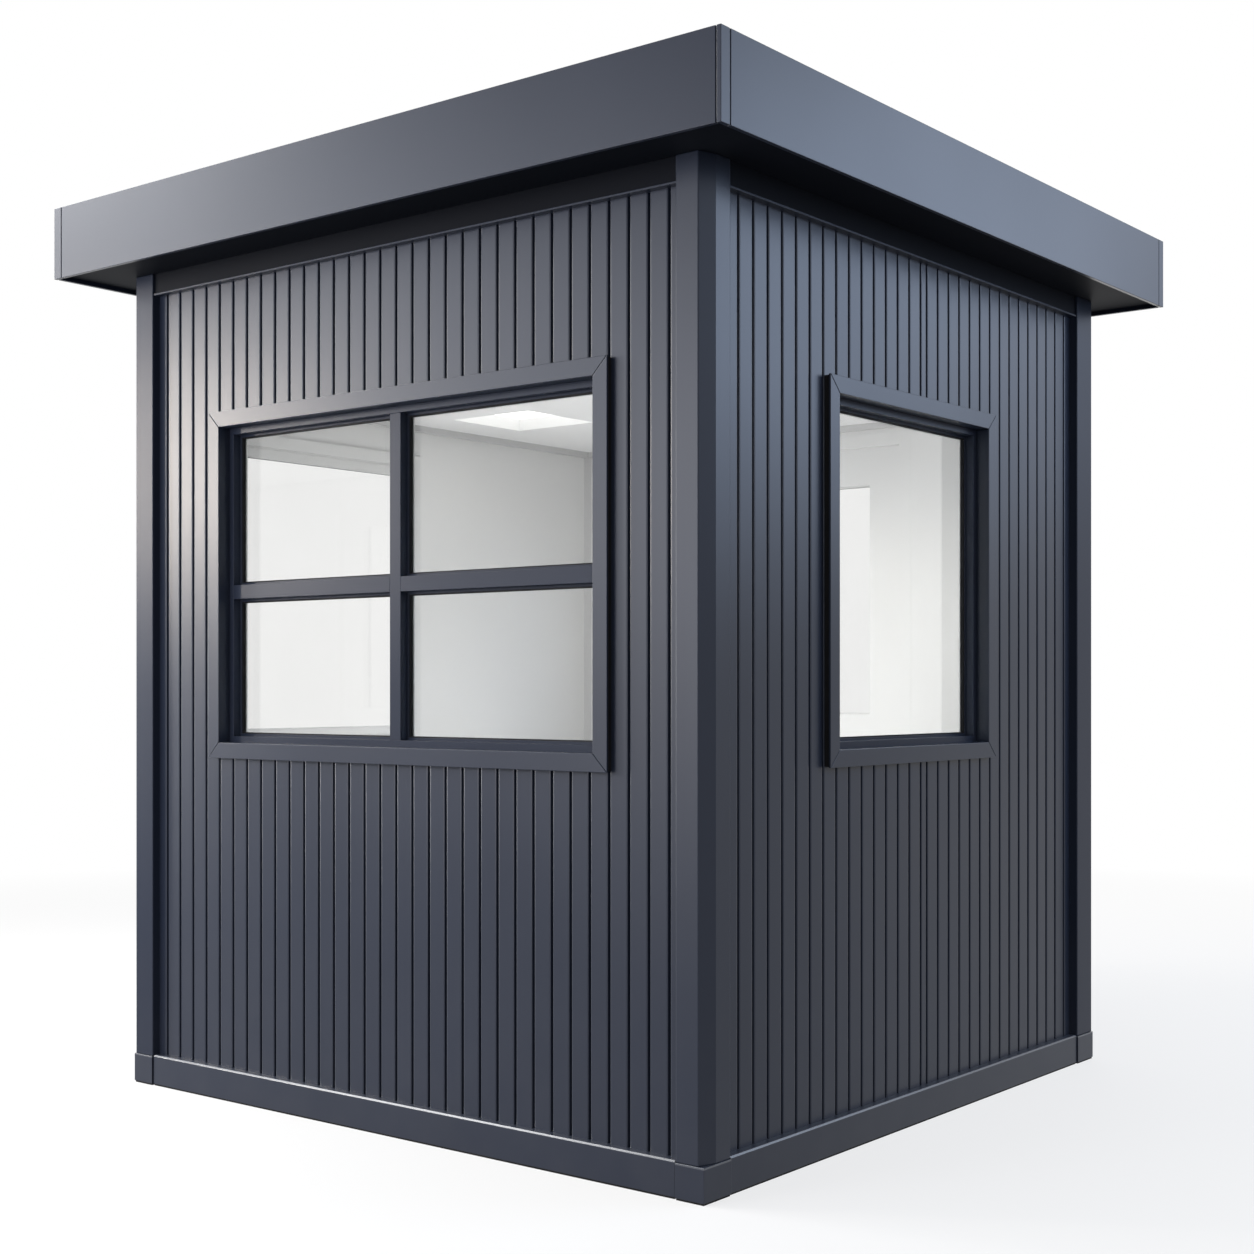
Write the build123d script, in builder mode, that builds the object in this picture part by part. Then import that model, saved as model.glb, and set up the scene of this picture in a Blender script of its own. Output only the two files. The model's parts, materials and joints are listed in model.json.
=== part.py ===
from build123d import *
import math
import os
from dataclasses import dataclass

# A one-room guard booth on a square plan, standing on the ground at z = 0.
# The front wall faces -Y and the right wall faces +X. Sizes are in millimetres.

# Overall sizes
booth_width = 2100.0
booth_depth = 2100.0
booth_height = 2600.0

# Base frame and floor
rail_height = 90.0
rail_setback = 4.0
rail_nosing = 4.0
rail_end_gap = 3.0
block_height = 86.0
block_reveal = 3.0
floor_thickness = 60.0

# Corner posts, by their widths on the front and side faces; the front right one is chamfered
post_front_width = 80.0
post_side_width = 106.0
chamfer_front_width = 15.0
chamfer_side_width = 48.0

# Walls
wall_thickness = 103.0

# Ribbed cladding
cladding_recess = 25.0
cladding_thickness = 14.0
groove_mouth = 8.0
groove_root = 6.0
groove_depth = 9.0
groove_edge_margin = 15.0
front_groove_pitch = 60.0
side_groove_pitch = 62.0
side_joint_strip = 34.0
side_joint_offset = 12.0

# Head rail under the soffit
head_rail_height = 64.0
head_rail_setback = 7.0
head_lip_proud = 4.0
head_lip_height = 5.0

# Window openings, measured over the casing
window_sill_height = 975.0
window_head_drop = 435.0
front_window_width = 1476.0
front_window_offset = 22.0
side_window_width = 900.0
right_window_offset = 48.0
left_window_offset = 400.0

# Casing, frame and glass of a window
casing_width = 45.0
casing_proud = 20.0
casing_edge_chamfer = 4.0
reveal_thickness = 3.0
frame_recess = 40.0
frame_width = 18.0
frame_depth = 48.0
bead_width = 7.0
bead_setback = 24.0
glass_setback = 36.0
glass_thickness = 6.0
glass_clearance = 1.0
mullion_width = 40.0
mullion_offset = -16.0
transom_height = 40.0
transom_offset = -20.0

# Back door, closed
door_opening_width = 900.0
door_head_drop = 30.0
door_offset = 0.0
door_face_recess = 8.0
door_frame_width = 35.0
door_stop_width = 12.0
door_leaf_thickness = 42.0
door_gap = 4.0
door_foot_gap = 6.0
door_light_margin = 125.0
door_light_height = 800.0
door_light_top_margin = 125.0
door_bead_width = 10.0

# Door handle and hinges
handle_height = 1000.0
handle_inset = 60.0
handle_plate_width = 40.0
handle_plate_height = 180.0
handle_plate_thickness = 8.0
handle_spindle_radius = 10.0
handle_reach = 45.0
handle_lever_length = 120.0
handle_lever_height = 20.0
handle_lever_thickness = 10.0
hinge_height = 100.0
hinge_flap_width = 30.0
hinge_flap_thickness = 4.0
hinge_knuckle_radius = 8.0
hinge_end_margin = 180.0
hinge_count = 3

# Roof
roof_overhang = 165.0
fascia_height = 210.0
fascia_thickness = 12.0
fascia_seam = 3.0
fascia_cover_width = 34.0
soffit_recess = 12.0
soffit_thickness = 7.0
parapet_height = 40.0

# Ceiling, its light and the room trims
ceiling_drop = 332.0
ceiling_thickness = 40.0
light_size = 330.0
light_from_left = 367.0
light_from_back = 777.0
light_thickness = 12.0
light_lap = 15.0
trim_size = 20.0

# Levels and faces that follow from the sizes above
fascia_bottom = booth_height - fascia_height
soffit_bottom = fascia_bottom + soffit_recess
deck_bottom = soffit_bottom + soffit_thickness
head_rail_bottom = soffit_bottom - head_rail_height
ceiling_height = soffit_bottom - ceiling_drop
window_height = soffit_bottom - window_head_drop - window_sill_height
window_level = window_sill_height + window_height / 2
door_opening_height = ceiling_height - door_head_drop - rail_height
block_front_width = block_reveal + post_front_width
block_side_width = block_reveal + post_side_width
cladding_setback = block_reveal + cladding_recess
core_setback = cladding_setback + cladding_thickness
core_thickness = wall_thickness - core_setback
casing_setback = cladding_setback - casing_proud
window_frame_setback = casing_setback + frame_recess
door_setback = cladding_setback + door_face_recess
door_frame_depth = wall_thickness - door_setback
front_half_run = booth_width / 2 - block_front_width
side_half_run = booth_depth / 2 - block_side_width
room_half_width = booth_width / 2 - wall_thickness
room_half_depth = booth_depth / 2 - wall_thickness
light_x = light_from_left - room_half_width
light_y = room_half_depth - light_from_back
roof_half_width = booth_width / 2 + roof_overhang
roof_half_depth = booth_depth / 2 + roof_overhang


@dataclass
class WallSide:
    """One side of the booth: its outward direction, its clear run and its reach."""

    run: Vector
    outward: Vector
    half_run: float
    reach: float
    roof_half_run: float

    def face(self, setback):
        """Upright plane facing outward, set back from the face of the base blocks."""
        return Plane(self.outward * (self.reach - setback), x_dir=self.run, z_dir=self.outward)

    def section(self):
        """Upright plane across the middle of the run; local x points outward."""
        return Plane(Vector(), x_dir=self.outward, z_dir=self.outward.cross(Vector(0, 0, 1)))

    def plan(self, level, setback):
        """Level plane whose local x follows the run and local y points inward."""
        origin = self.outward * (self.reach - setback) + Vector(0, 0, level)
        return Plane(origin, x_dir=self.run, z_dir=Vector(0, 0, 1))


@dataclass
class Opening:
    """A rectangle on a wall, by its middle and its size."""

    x: float
    z: float
    width: float
    height: float

    def inset(self, margin):
        """The same rectangle with each edge moved inward by the margin."""
        return Opening(self.x, self.z, self.width - 2 * margin, self.height - 2 * margin)


east = Vector(1, 0, 0)
north = Vector(0, 1, 0)
sides = {
    "front": WallSide(east, -north, front_half_run, booth_depth / 2, roof_half_width),
    "right": WallSide(north, east, side_half_run, booth_width / 2, roof_half_depth),
    "back": WallSide(-east, north, front_half_run, booth_depth / 2, roof_half_width),
    "left": WallSide(-north, -east, side_half_run, booth_width / 2, roof_half_depth),
}
corners = {
    "front_right": (1, -1),
    "back_right": (1, 1),
    "back_left": (-1, 1),
    "front_left": (-1, -1),
}

# Windows by side, over the casing, with x along each wall's own run
window_cases = {
    "front": Opening(front_window_offset, window_level, front_window_width, window_height),
    "right": Opening(-right_window_offset, window_level, side_window_width, window_height),
    "left": Opening(left_window_offset, window_level, side_window_width, window_height),
}
door_hole = Opening(
    door_offset, rail_height + door_opening_height / 2, door_opening_width, door_opening_height
)
wall_holes = {
    side: case.inset(casing_width - reveal_thickness) for side, case in window_cases.items()
}
wall_holes["back"] = door_hole

# Starts and finishes of the fascia boards that carry a corner cover
covered_ends = {
    "front": (True, False),
    "right": (True, True),
    "back": (False, False),
    "left": (True, False),
}


def keep(node, builder):
    """Label a finished piece and write it under its node name."""
    builder.part.label = node
    export_step(builder.part, f"parts/{node}.step")


def rectangle(opening, mode=Mode.ADD):
    """Draw an opening's rectangle in the current sketch."""
    with Locations((opening.x, opening.z)):
        Rectangle(opening.width, opening.height, mode=mode)


def ring(plane, outer, inner, depth):
    """Extrude inward the band between two openings."""
    with BuildSketch(plane) as band:
        rectangle(outer)
        rectangle(inner, mode=Mode.SUBTRACT)
    extrude(band.sketch, amount=-depth)


def slab(plane, opening, depth, mode=Mode.ADD):
    """Extrude inward a full opening."""
    with BuildSketch(plane) as outline:
        rectangle(opening)
    extrude(outline.sketch, amount=-depth, mode=mode)


def groove_places(side_name):
    """Middles of the cladding grooves along a wall's run."""
    half_run = sides[side_name].half_run - groove_edge_margin
    if side_name in ("front", "back"):
        gaps = math.floor(2 * half_run / front_groove_pitch)
        return [(step - gaps / 2) * front_groove_pitch for step in range(gaps + 1)]
    joint = side_joint_offset if side_name == "right" else -side_joint_offset
    gaps = math.floor((half_run - side_joint_strip / 2 - side_joint_offset) / side_groove_pitch)
    half = [side_joint_strip / 2 + step * side_groove_pitch for step in range(gaps + 1)]
    return [joint - place for place in reversed(half)] + [joint + place for place in half]


def build_base():
    """Base rails between the corner blocks, and the floor deck inside them."""
    with BuildPart() as base_rails:
        for side in sides.values():
            outer = side.reach - rail_setback
            inner = side.reach - wall_thickness
            with BuildSketch(side.section()):
                with BuildLine():
                    Polyline(
                        (inner, 0),
                        (outer, 0),
                        (outer, rail_height - rail_nosing),
                        (outer - rail_nosing, rail_height),
                        (inner, rail_height),
                        close=True,
                    )
                make_face()
            extrude(amount=side.half_run - rail_end_gap, both=True)
    keep("base_rails", base_rails)

    with BuildPart() as base_corner_blocks:
        with BuildSketch():
            for x_sign, y_sign in corners.values():
                x = x_sign * (booth_width - block_front_width) / 2
                y = y_sign * (booth_depth - block_side_width) / 2
                with Locations((x, y)):
                    Rectangle(block_front_width, block_side_width)
        extrude(amount=block_height)
    keep("base_corner_blocks", base_corner_blocks)

    with BuildPart() as floor_deck:
        with BuildSketch():
            Rectangle(2 * room_half_width, 2 * room_half_depth)
        extrude(amount=floor_thickness)
    keep("floor_deck", floor_deck)


def build_posts():
    """Corner posts standing on the base blocks; the front right one has a chamfered edge."""
    x_face = booth_width / 2 - block_reveal
    y_face = booth_depth / 2 - block_reveal
    x_back = x_face - post_front_width
    y_back = y_face - post_side_width
    for corner, (x_sign, y_sign) in corners.items():
        outer_edge = [(x_face, y_face)]
        if corner == "front_right":
            outer_edge = [(x_face, y_face - chamfer_side_width), (x_face - chamfer_front_width, y_face)]
        outline = [(x_back, y_back), (x_face, y_back), *outer_edge, (x_back, y_face)]
        with BuildPart() as post:
            with BuildSketch(Plane.XY.offset(block_height)):
                with BuildLine():
                    Polyline([(x_sign * x, y_sign * y) for x, y in outline], close=True)
                make_face()
            extrude(amount=soffit_bottom - block_height)
        keep(f"corner_post_{corner}", post)


def build_wall(side_name):
    """Wall panel with its pale room face, and the ribbed cladding over it."""
    side = sides[side_name]
    hole = wall_holes[side_name]
    panel_height = soffit_bottom - rail_height
    panel = Opening(0, rail_height + panel_height / 2, 2 * side.half_run, panel_height)
    with BuildPart() as wall:
        ring(side.face(core_setback), panel, hole, core_thickness)
    keep(f"{side_name}_wall", wall)

    cladding_height = head_rail_bottom - rail_height
    groove_angle = math.degrees(math.atan2(2 * groove_depth, groove_mouth - groove_root))
    with BuildPart() as cladding:
        with BuildSketch(side.plan(rail_height, cladding_setback)):
            Rectangle(2 * side.half_run, cladding_thickness, align=(Align.CENTER, Align.MIN))
            with Locations([(place, 0) for place in groove_places(side_name)]):
                Trapezoid(
                    groove_mouth,
                    groove_depth,
                    groove_angle,
                    align=(Align.CENTER, Align.MIN),
                    mode=Mode.SUBTRACT,
                )
        extrude(amount=cladding_height)
        slab(side.face(cladding_setback), hole, cladding_thickness, mode=Mode.SUBTRACT)
    keep(f"{side_name}_cladding", cladding)


def build_head_rails():
    """Rails under the soffit between the posts, each with a lip along its lower edge."""
    with BuildPart() as head_rails:
        for side in sides.values():
            outer = side.reach - block_reveal - head_rail_setback
            inner = side.reach - core_setback
            with BuildSketch(side.section()):
                with BuildLine():
                    Polyline(
                        (inner, head_rail_bottom),
                        (outer + head_lip_proud, head_rail_bottom),
                        (outer + head_lip_proud, head_rail_bottom + head_lip_height),
                        (outer, head_rail_bottom + head_lip_height),
                        (outer, soffit_bottom),
                        (inner, soffit_bottom),
                        close=True,
                    )
                make_face()
            extrude(amount=side.half_run, both=True)
    keep("head_rails", head_rails)


def build_casing(node, side, case):
    """Flat casing planted on the cladding round a window, with chamfered edges."""
    with BuildPart() as casing:
        ring(side.face(casing_setback), case, case.inset(casing_width), casing_proud)
        front_face = casing.faces().sort_by(Axis(Vector(), side.outward))[-1]
        chamfer(front_face.edges(), length=casing_edge_chamfer)
    keep(node, casing)


def build_reveals():
    """Thin linings of the window holes, from the casings back to the window frames."""
    with BuildPart() as window_reveals:
        for side_name, case in window_cases.items():
            face = sides[side_name].face(cladding_setback)
            ring(face, wall_holes[side_name], case.inset(casing_width), frame_recess - casing_proud)
    keep("window_reveals", window_reveals)


def build_window(side_name):
    """Casing, stepped frame and seated glass of one window."""
    side = sides[side_name]
    case = window_cases[side_name]
    hole = wall_holes[side_name]
    light = case.inset(casing_width + frame_width)
    face = side.face(window_frame_setback)
    bead_face = face.offset(-bead_setback)
    glass_face = face.offset(-glass_setback)
    bead_depth = frame_depth - bead_setback
    build_casing(f"{side_name}_window_casing", side, case)

    with BuildPart() as frame:
        ring(face, hole, light, frame_depth)
        ring(bead_face, light, light.inset(bead_width), bead_depth)
        slab(glass_face, light, glass_thickness, mode=Mode.SUBTRACT)
    keep(f"{side_name}_window_frame", frame)

    panes = [light]
    if side_name == "front":
        panes = build_window_bars(light, face, bead_face, glass_face, bead_depth)
    with BuildPart() as glass:
        for pane in panes:
            slab(glass_face, pane.inset(glass_clearance), glass_thickness)
    keep(f"{side_name}_window_glass", glass)


def build_window_bars(light, face, bead_face, glass_face, bead_depth):
    """Mullion and transoms of the front window; returns the four panes they leave."""
    mullion_x = light.x + mullion_offset
    transom_z = light.z + transom_offset
    bar = Opening(mullion_x, light.z, mullion_width, light.height)
    with BuildPart() as mullion:
        slab(face, bar, bead_setback)
        flange = Opening(bar.x, bar.z, bar.width + 2 * bead_width, bar.height - 2 * bead_width)
        slab(bead_face, flange, bead_depth)
        for side_sign in (-1, 1):
            slot_x = bar.x + side_sign * (bar.width + bead_width) / 2
            slot = Opening(slot_x, bar.z, bead_width, bar.height)
            slab(glass_face, slot, glass_thickness, mode=Mode.SUBTRACT)
    keep("front_window_mullion", mullion)

    columns = []
    for side_sign in (-1, 1):
        jamb_x = light.x + side_sign * light.width / 2
        stile_x = mullion_x + side_sign * mullion_width / 2
        columns.append(((jamb_x + stile_x) / 2, abs(jamb_x - stile_x)))
    with BuildPart() as transoms:
        for column_x, column_width in columns:
            bar = Opening(column_x, transom_z, column_width, transom_height)
            slab(face, bar, bead_setback)
            flange = Opening(bar.x, bar.z, bar.width - 2 * bead_width, bar.height + 2 * bead_width)
            slab(bead_face, flange, bead_depth)
            for level_sign in (-1, 1):
                slot_z = bar.z + level_sign * (bar.height + bead_width) / 2
                slot = Opening(bar.x, slot_z, bar.width, bead_width)
                slab(glass_face, slot, glass_thickness, mode=Mode.SUBTRACT)
    keep("front_window_transoms", transoms)

    panes = []
    for column_x, column_width in columns:
        for level_sign in (-1, 1):
            rail_z = light.z + level_sign * light.height / 2
            bar_z = transom_z + level_sign * transom_height / 2
            panes.append(Opening(column_x, (rail_z + bar_z) / 2, column_width, abs(rail_z - bar_z)))
    return panes


def build_door():
    """Closed back door: casing, rebated frame, glazed leaf, handle and hinges."""
    side = sides["back"]
    face = side.face(door_setback)
    case_height = door_hole.height + casing_width
    case = Opening(
        door_hole.x, rail_height + case_height / 2, door_hole.width + 2 * casing_width, case_height
    )
    with BuildPart() as door_casing:
        ring(side.face(casing_setback), case, door_hole, casing_proud)
    keep("door_casing", door_casing)

    leaf_hole = doorway(door_frame_width)
    with BuildPart() as door_frame:
        ring(face, door_hole, leaf_hole, door_frame_depth)
        stop_face = face.offset(-door_leaf_thickness)
        stop_depth = door_frame_depth - door_leaf_thickness
        ring(stop_face, leaf_hole, doorway(door_frame_width + door_stop_width), stop_depth)
    keep("door_frame", door_frame)

    leaf_height = leaf_hole.height - door_gap - door_foot_gap
    leaf = Opening(
        leaf_hole.x,
        rail_height + door_foot_gap + leaf_height / 2,
        leaf_hole.width - 2 * door_gap,
        leaf_height,
    )
    leaf_top = leaf.z + leaf.height / 2
    light = Opening(
        leaf.x,
        leaf_top - door_light_top_margin - door_light_height / 2,
        leaf.width - 2 * door_light_margin,
        door_light_height,
    )
    glass_face = face.offset(-(door_leaf_thickness - glass_thickness) / 2)
    with BuildPart() as door_leaf:
        ring(face, leaf, light.inset(door_bead_width), door_leaf_thickness)
        slab(glass_face, light, glass_thickness, mode=Mode.SUBTRACT)
    keep("door_leaf", door_leaf)

    with BuildPart() as door_glass:
        slab(glass_face, light.inset(glass_clearance), glass_thickness)
    keep("door_glass", door_glass)

    build_handle(side, face, leaf)
    build_hinges(face, leaf)


def doorway(margin):
    """The door hole narrowed at its jambs and head, still open at its foot."""
    height = door_hole.height - margin
    return Opening(
        door_hole.x, rail_height + height / 2, door_hole.width - 2 * margin, height
    )


def build_handle(side, face, leaf):
    """Lever handles on the two faces of the leaf, each on its own back plate."""
    handle_x = leaf.x + leaf.width / 2 - handle_inset
    handle_z = rail_height + handle_height
    inner_face = Plane(
        face.offset(-door_leaf_thickness).origin, x_dir=side.run, z_dir=-side.outward
    )
    with BuildPart() as door_handle:
        for plane, up_sign in ((face, 1), (inner_face, -1)):
            z = up_sign * handle_z
            with BuildSketch(plane):
                with Locations((handle_x, z)):
                    Rectangle(handle_plate_width, handle_plate_height)
            extrude(amount=handle_plate_thickness)
            with BuildSketch(plane.offset(handle_plate_thickness)):
                with Locations((handle_x, z)):
                    Circle(handle_spindle_radius)
            extrude(amount=handle_reach - handle_plate_thickness)
            with BuildSketch(plane.offset(handle_reach - handle_lever_thickness)):
                with Locations((handle_x - handle_lever_length / 2, z)):
                    SlotCenterToCenter(handle_lever_length, handle_lever_height)
            extrude(amount=handle_lever_thickness)
    keep("door_handle", door_handle)


def build_hinges(face, leaf):
    """Butt hinges across the gap between the leaf and its frame."""
    hinge_x = leaf.x - (leaf.width + door_gap) / 2
    first_z = leaf.z - leaf.height / 2 + hinge_end_margin
    last_z = leaf.z + leaf.height / 2 - hinge_end_margin
    with BuildPart() as door_hinges:
        for step in range(hinge_count):
            hinge_z = first_z + (last_z - first_z) * step / (hinge_count - 1)
            with BuildSketch(face):
                with Locations((hinge_x, hinge_z)):
                    Rectangle(2 * hinge_flap_width, hinge_height)
            extrude(amount=hinge_flap_thickness)
            barrel_origin = face.from_local_coords((hinge_x, hinge_z, hinge_flap_thickness))
            with BuildSketch(Plane(barrel_origin, z_dir=Vector(0, 0, 1))):
                Circle(hinge_knuckle_radius)
            extrude(amount=hinge_height / 2, both=True)
            flap = Opening(hinge_x, hinge_z, 2 * hinge_flap_width, hinge_height)
            slab(face, flap, 2 * hinge_knuckle_radius, mode=Mode.SUBTRACT)
    keep("door_hinges", door_hinges)


def build_roof():
    """Soffit sheet set up inside the fascia, corner covers, and the roof deck."""
    inner_width = 2 * (roof_half_width - fascia_thickness)
    inner_depth = 2 * (roof_half_depth - fascia_thickness)
    with BuildPart() as soffit:
        with BuildSketch(Plane.XY.offset(soffit_bottom)):
            Rectangle(inner_width, inner_depth)
        extrude(amount=soffit_thickness)
    keep("soffit", soffit)

    covered_end = fascia_cover_width + fascia_seam
    butted_end = fascia_thickness + fascia_seam
    for side_name, side in sides.items():
        start_covered, finish_covered = covered_ends[side_name]
        start = (covered_end if start_covered else butted_end) - side.roof_half_run
        finish = side.roof_half_run - (covered_end if finish_covered else butted_end)
        with BuildPart() as fascia:
            with BuildSketch(side.plan(fascia_bottom, -roof_overhang)):
                with Locations((start, 0)):
                    Rectangle(finish - start, fascia_thickness, align=(Align.MIN, Align.MIN))
            extrude(amount=fascia_height)
        keep(f"fascia_{side_name}", fascia)

    with BuildPart() as fascia_corner_covers:
        for side_name, side in sides.items():
            for end_sign, is_covered in zip((-1, 1), covered_ends[side_name]):
                if is_covered:
                    middle = end_sign * (side.roof_half_run - fascia_cover_width / 2)
                    with BuildSketch(side.plan(fascia_bottom, -roof_overhang)):
                        with Locations((middle, 0)):
                            Rectangle(
                                fascia_cover_width, fascia_thickness, align=(Align.CENTER, Align.MIN)
                            )
                    extrude(amount=fascia_height)
    keep("fascia_corner_covers", fascia_corner_covers)

    with BuildPart() as roof_deck:
        with BuildSketch(Plane.XY.offset(deck_bottom)):
            Rectangle(inner_width, inner_depth)
        extrude(amount=booth_height - parapet_height - deck_bottom)
    keep("roof_deck", roof_deck)


def build_room():
    """Ceiling with its recessed light, and the trims in the corners of the room."""
    room_width = 2 * room_half_width
    room_depth = 2 * room_half_depth
    with BuildPart() as ceiling:
        with BuildSketch(Plane.XY.offset(ceiling_height)):
            Rectangle(room_width, room_depth)
            with Locations((light_x, light_y)):
                Rectangle(light_size, light_size, mode=Mode.SUBTRACT)
        extrude(amount=ceiling_thickness)
    keep("ceiling", ceiling)

    with BuildPart() as ceiling_light:
        with BuildSketch(Plane.XY.offset(ceiling_height + ceiling_thickness)):
            with Locations((light_x, light_y)):
                Rectangle(light_size + 2 * light_lap, light_size + 2 * light_lap)
        extrude(amount=light_thickness)
    keep("ceiling_light", ceiling_light)

    with BuildPart() as ceiling_trim:
        with BuildSketch(Plane.XY.offset(ceiling_height - trim_size)):
            Rectangle(room_width, room_depth)
            Rectangle(room_width - 2 * trim_size, room_depth - 2 * trim_size, mode=Mode.SUBTRACT)
        extrude(amount=trim_size)
    keep("ceiling_trim", ceiling_trim)

    with BuildPart() as room_corner_trims:
        with BuildSketch(Plane.XY.offset(floor_thickness)):
            for x_sign, y_sign in corners.values():
                x = x_sign * room_half_width
                y = y_sign * room_half_depth
                with BuildLine():
                    Polyline(
                        (x, y),
                        (x - x_sign * trim_size, y),
                        (x, y - y_sign * trim_size),
                        close=True,
                    )
                make_face()
        extrude(amount=ceiling_height - trim_size - floor_thickness)
    keep("room_corner_trims", room_corner_trims)


os.makedirs("parts", exist_ok=True)
build_base()
build_posts()
for wall_name in sides:
    build_wall(wall_name)
build_head_rails()
for window_name in window_cases:
    build_window(window_name)
build_reveals()
build_door()
build_roof()
build_room()
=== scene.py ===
"""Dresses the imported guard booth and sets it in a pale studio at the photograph's angle."""

import json
import logging
import math
from dataclasses import dataclass
from enum import Enum
from typing import Iterable

import bmesh
import bpy
from bmesh.types import BMEdge, BMesh, BMFace, BMVert
from mathutils import Matrix, Vector

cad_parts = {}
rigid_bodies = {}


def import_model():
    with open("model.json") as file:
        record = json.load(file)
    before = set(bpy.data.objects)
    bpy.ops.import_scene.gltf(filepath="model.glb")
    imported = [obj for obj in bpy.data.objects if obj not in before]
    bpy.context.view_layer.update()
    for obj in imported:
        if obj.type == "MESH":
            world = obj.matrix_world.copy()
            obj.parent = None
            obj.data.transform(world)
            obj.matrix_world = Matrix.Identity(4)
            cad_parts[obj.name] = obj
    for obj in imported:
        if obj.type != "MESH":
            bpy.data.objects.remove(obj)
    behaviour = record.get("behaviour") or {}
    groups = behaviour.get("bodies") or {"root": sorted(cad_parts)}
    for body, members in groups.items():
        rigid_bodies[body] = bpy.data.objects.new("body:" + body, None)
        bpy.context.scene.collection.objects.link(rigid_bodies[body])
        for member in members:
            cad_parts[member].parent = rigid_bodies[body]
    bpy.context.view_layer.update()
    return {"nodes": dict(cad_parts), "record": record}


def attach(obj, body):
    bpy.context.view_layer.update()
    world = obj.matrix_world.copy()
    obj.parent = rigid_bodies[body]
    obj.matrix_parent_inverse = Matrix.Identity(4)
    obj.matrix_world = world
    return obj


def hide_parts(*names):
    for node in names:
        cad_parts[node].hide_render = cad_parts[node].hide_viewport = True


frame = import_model()

log = logging.getLogger("guard_booth")

MM = 0.001
BODY = "root"
SHARP_ANGLE = math.radians(30)
MERGE_DISTANCE = 0.01 * MM
FLAT_ANGLE = math.radians(1)
PLACE_DIGITS = 4
ORDER_DIGITS = 3
X_AXIS = Vector((1, 0, 0))
Y_AXIS = Vector((0, 1, 0))
Z_AXIS = Vector((0, 0, 1))
STAND_UP = Matrix.Rotation(math.radians(90), 4, "X")

Color = tuple[float, float, float]
Span = tuple[float, float]
SocketValue = float | tuple | Vector | bpy.types.NodeSocket
Sockets = bpy.types.NodeOutputs


# Boxes and walls


@dataclass(frozen=True)
class Block:
    """An upright box by its lowest and highest corners, in metres."""

    low: Vector
    high: Vector

    @classmethod
    def around(cls, points: Iterable[Vector]) -> "Block":
        """The smallest box that holds all the points.

        Args:
            points: The points to hold.

        Returns:
            The box.
        """
        listed = list(points)
        low = Vector([min(point[axis] for point in listed) for axis in range(3)])
        high = Vector([max(point[axis] for point in listed) for axis in range(3)])
        return cls(low, high)

    @property
    def size(self) -> Vector:
        """Lengths along x, y and z."""
        return self.high - self.low

    @property
    def middle(self) -> Vector:
        """Middle point."""
        return (self.low + self.high) / 2

    def shrunk(self, x: float = 0.0, y: float = 0.0, z: float = 0.0) -> "Block":
        """The box with each pair of faces moved inward by the given lengths."""
        step = Vector((x, y, z))
        return Block(self.low + step, self.high - step)

    def between_y(self, front: float, back: float) -> "Block":
        """The same rectangle seen from the front, between two depths.

        Args:
            front: Depth of the front face.
            back: Depth of the back face.

        Returns:
            The new box.
        """
        low = Vector((self.low.x, front, self.low.z))
        high = Vector((self.high.x, back, self.high.z))
        return Block(low, high)


class Side(Enum):
    """A wall of the booth, by its turn in degrees from the front wall."""

    FRONT = 0.0
    RIGHT = 90.0
    BACK = 180.0
    LEFT = 270.0

    @property
    def turn(self) -> Matrix:
        """Rotation from the front wall's place to this wall's place."""
        return Matrix.Rotation(math.radians(self.value), 4, "Z")

    @property
    def label(self) -> str:
        """The wall's name in the node names."""
        return self.name.lower()

    def points(self, node: str) -> list[Vector]:
        """A node's points in the wall's own frame: x along it, y inward, z up."""
        back = self.turn.inverted()
        return [back @ vertex.co for vertex in frame["nodes"][node].data.vertices]

    def block(self, node: str) -> Block:
        """A node's box in the wall's own frame."""
        return Block.around(self.points(node))

    def loose_blocks(self, node: str) -> list[Block]:
        """The boxes of a node's separate solids in the wall's own frame.

        Args:
            node: Name of the node.

        Returns:
            One box for each solid.
        """
        mesh = merged_copy(node)
        bmesh.ops.transform(mesh, matrix=self.turn.inverted(), verts=mesh.verts[:])
        blocks = islands(mesh)
        mesh.free()
        return blocks


# Mesh operations


def add_block(mesh: BMesh, block: Block) -> list[BMVert]:
    """Add a plain box.

    Args:
        mesh: Mesh that receives the box.
        block: Where the box lies.

    Returns:
        The box's eight vertices.
    """
    place = Matrix.Translation(block.middle) @ Matrix.Diagonal((*block.size, 1.0))
    return bmesh.ops.create_cube(mesh, size=1.0, matrix=place)["verts"]


def add_upright_sheet(mesh: BMesh, block: Block) -> None:
    """Add a single face that fills a box's front and looks along -y.

    Args:
        mesh: The mesh to change.
        block: The box to fill.
    """
    scale = Matrix.Diagonal((block.size.x, block.size.z, 1.0, 1.0))
    front = Vector((block.middle.x, block.low.y, block.middle.z))
    place = Matrix.Translation(front) @ STAND_UP @ scale
    bmesh.ops.create_grid(mesh, x_segments=1, y_segments=1, size=0.5, matrix=place)


def slice_mesh(mesh: BMesh, along: Vector, level: float) -> None:
    """Cut every face that crosses the plane at a level along an axis.

    Args:
        mesh: The mesh to change.
        along: The axis that the plane stands across.
        level: The plane's place along the axis.
    """
    geometry = [*mesh.verts, *mesh.edges, *mesh.faces]
    bmesh.ops.bisect_plane(
        mesh, geom=geometry, dist=MERGE_DISTANCE, plane_co=along * level, plane_no=along
    )


def sharp_edges(mesh: BMesh) -> list[BMEdge]:
    """Edges where two faces meet at a clear angle."""
    return [edge for edge in mesh.edges if edge.is_manifold and edge.calc_face_angle() > SHARP_ANGLE]


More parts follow.
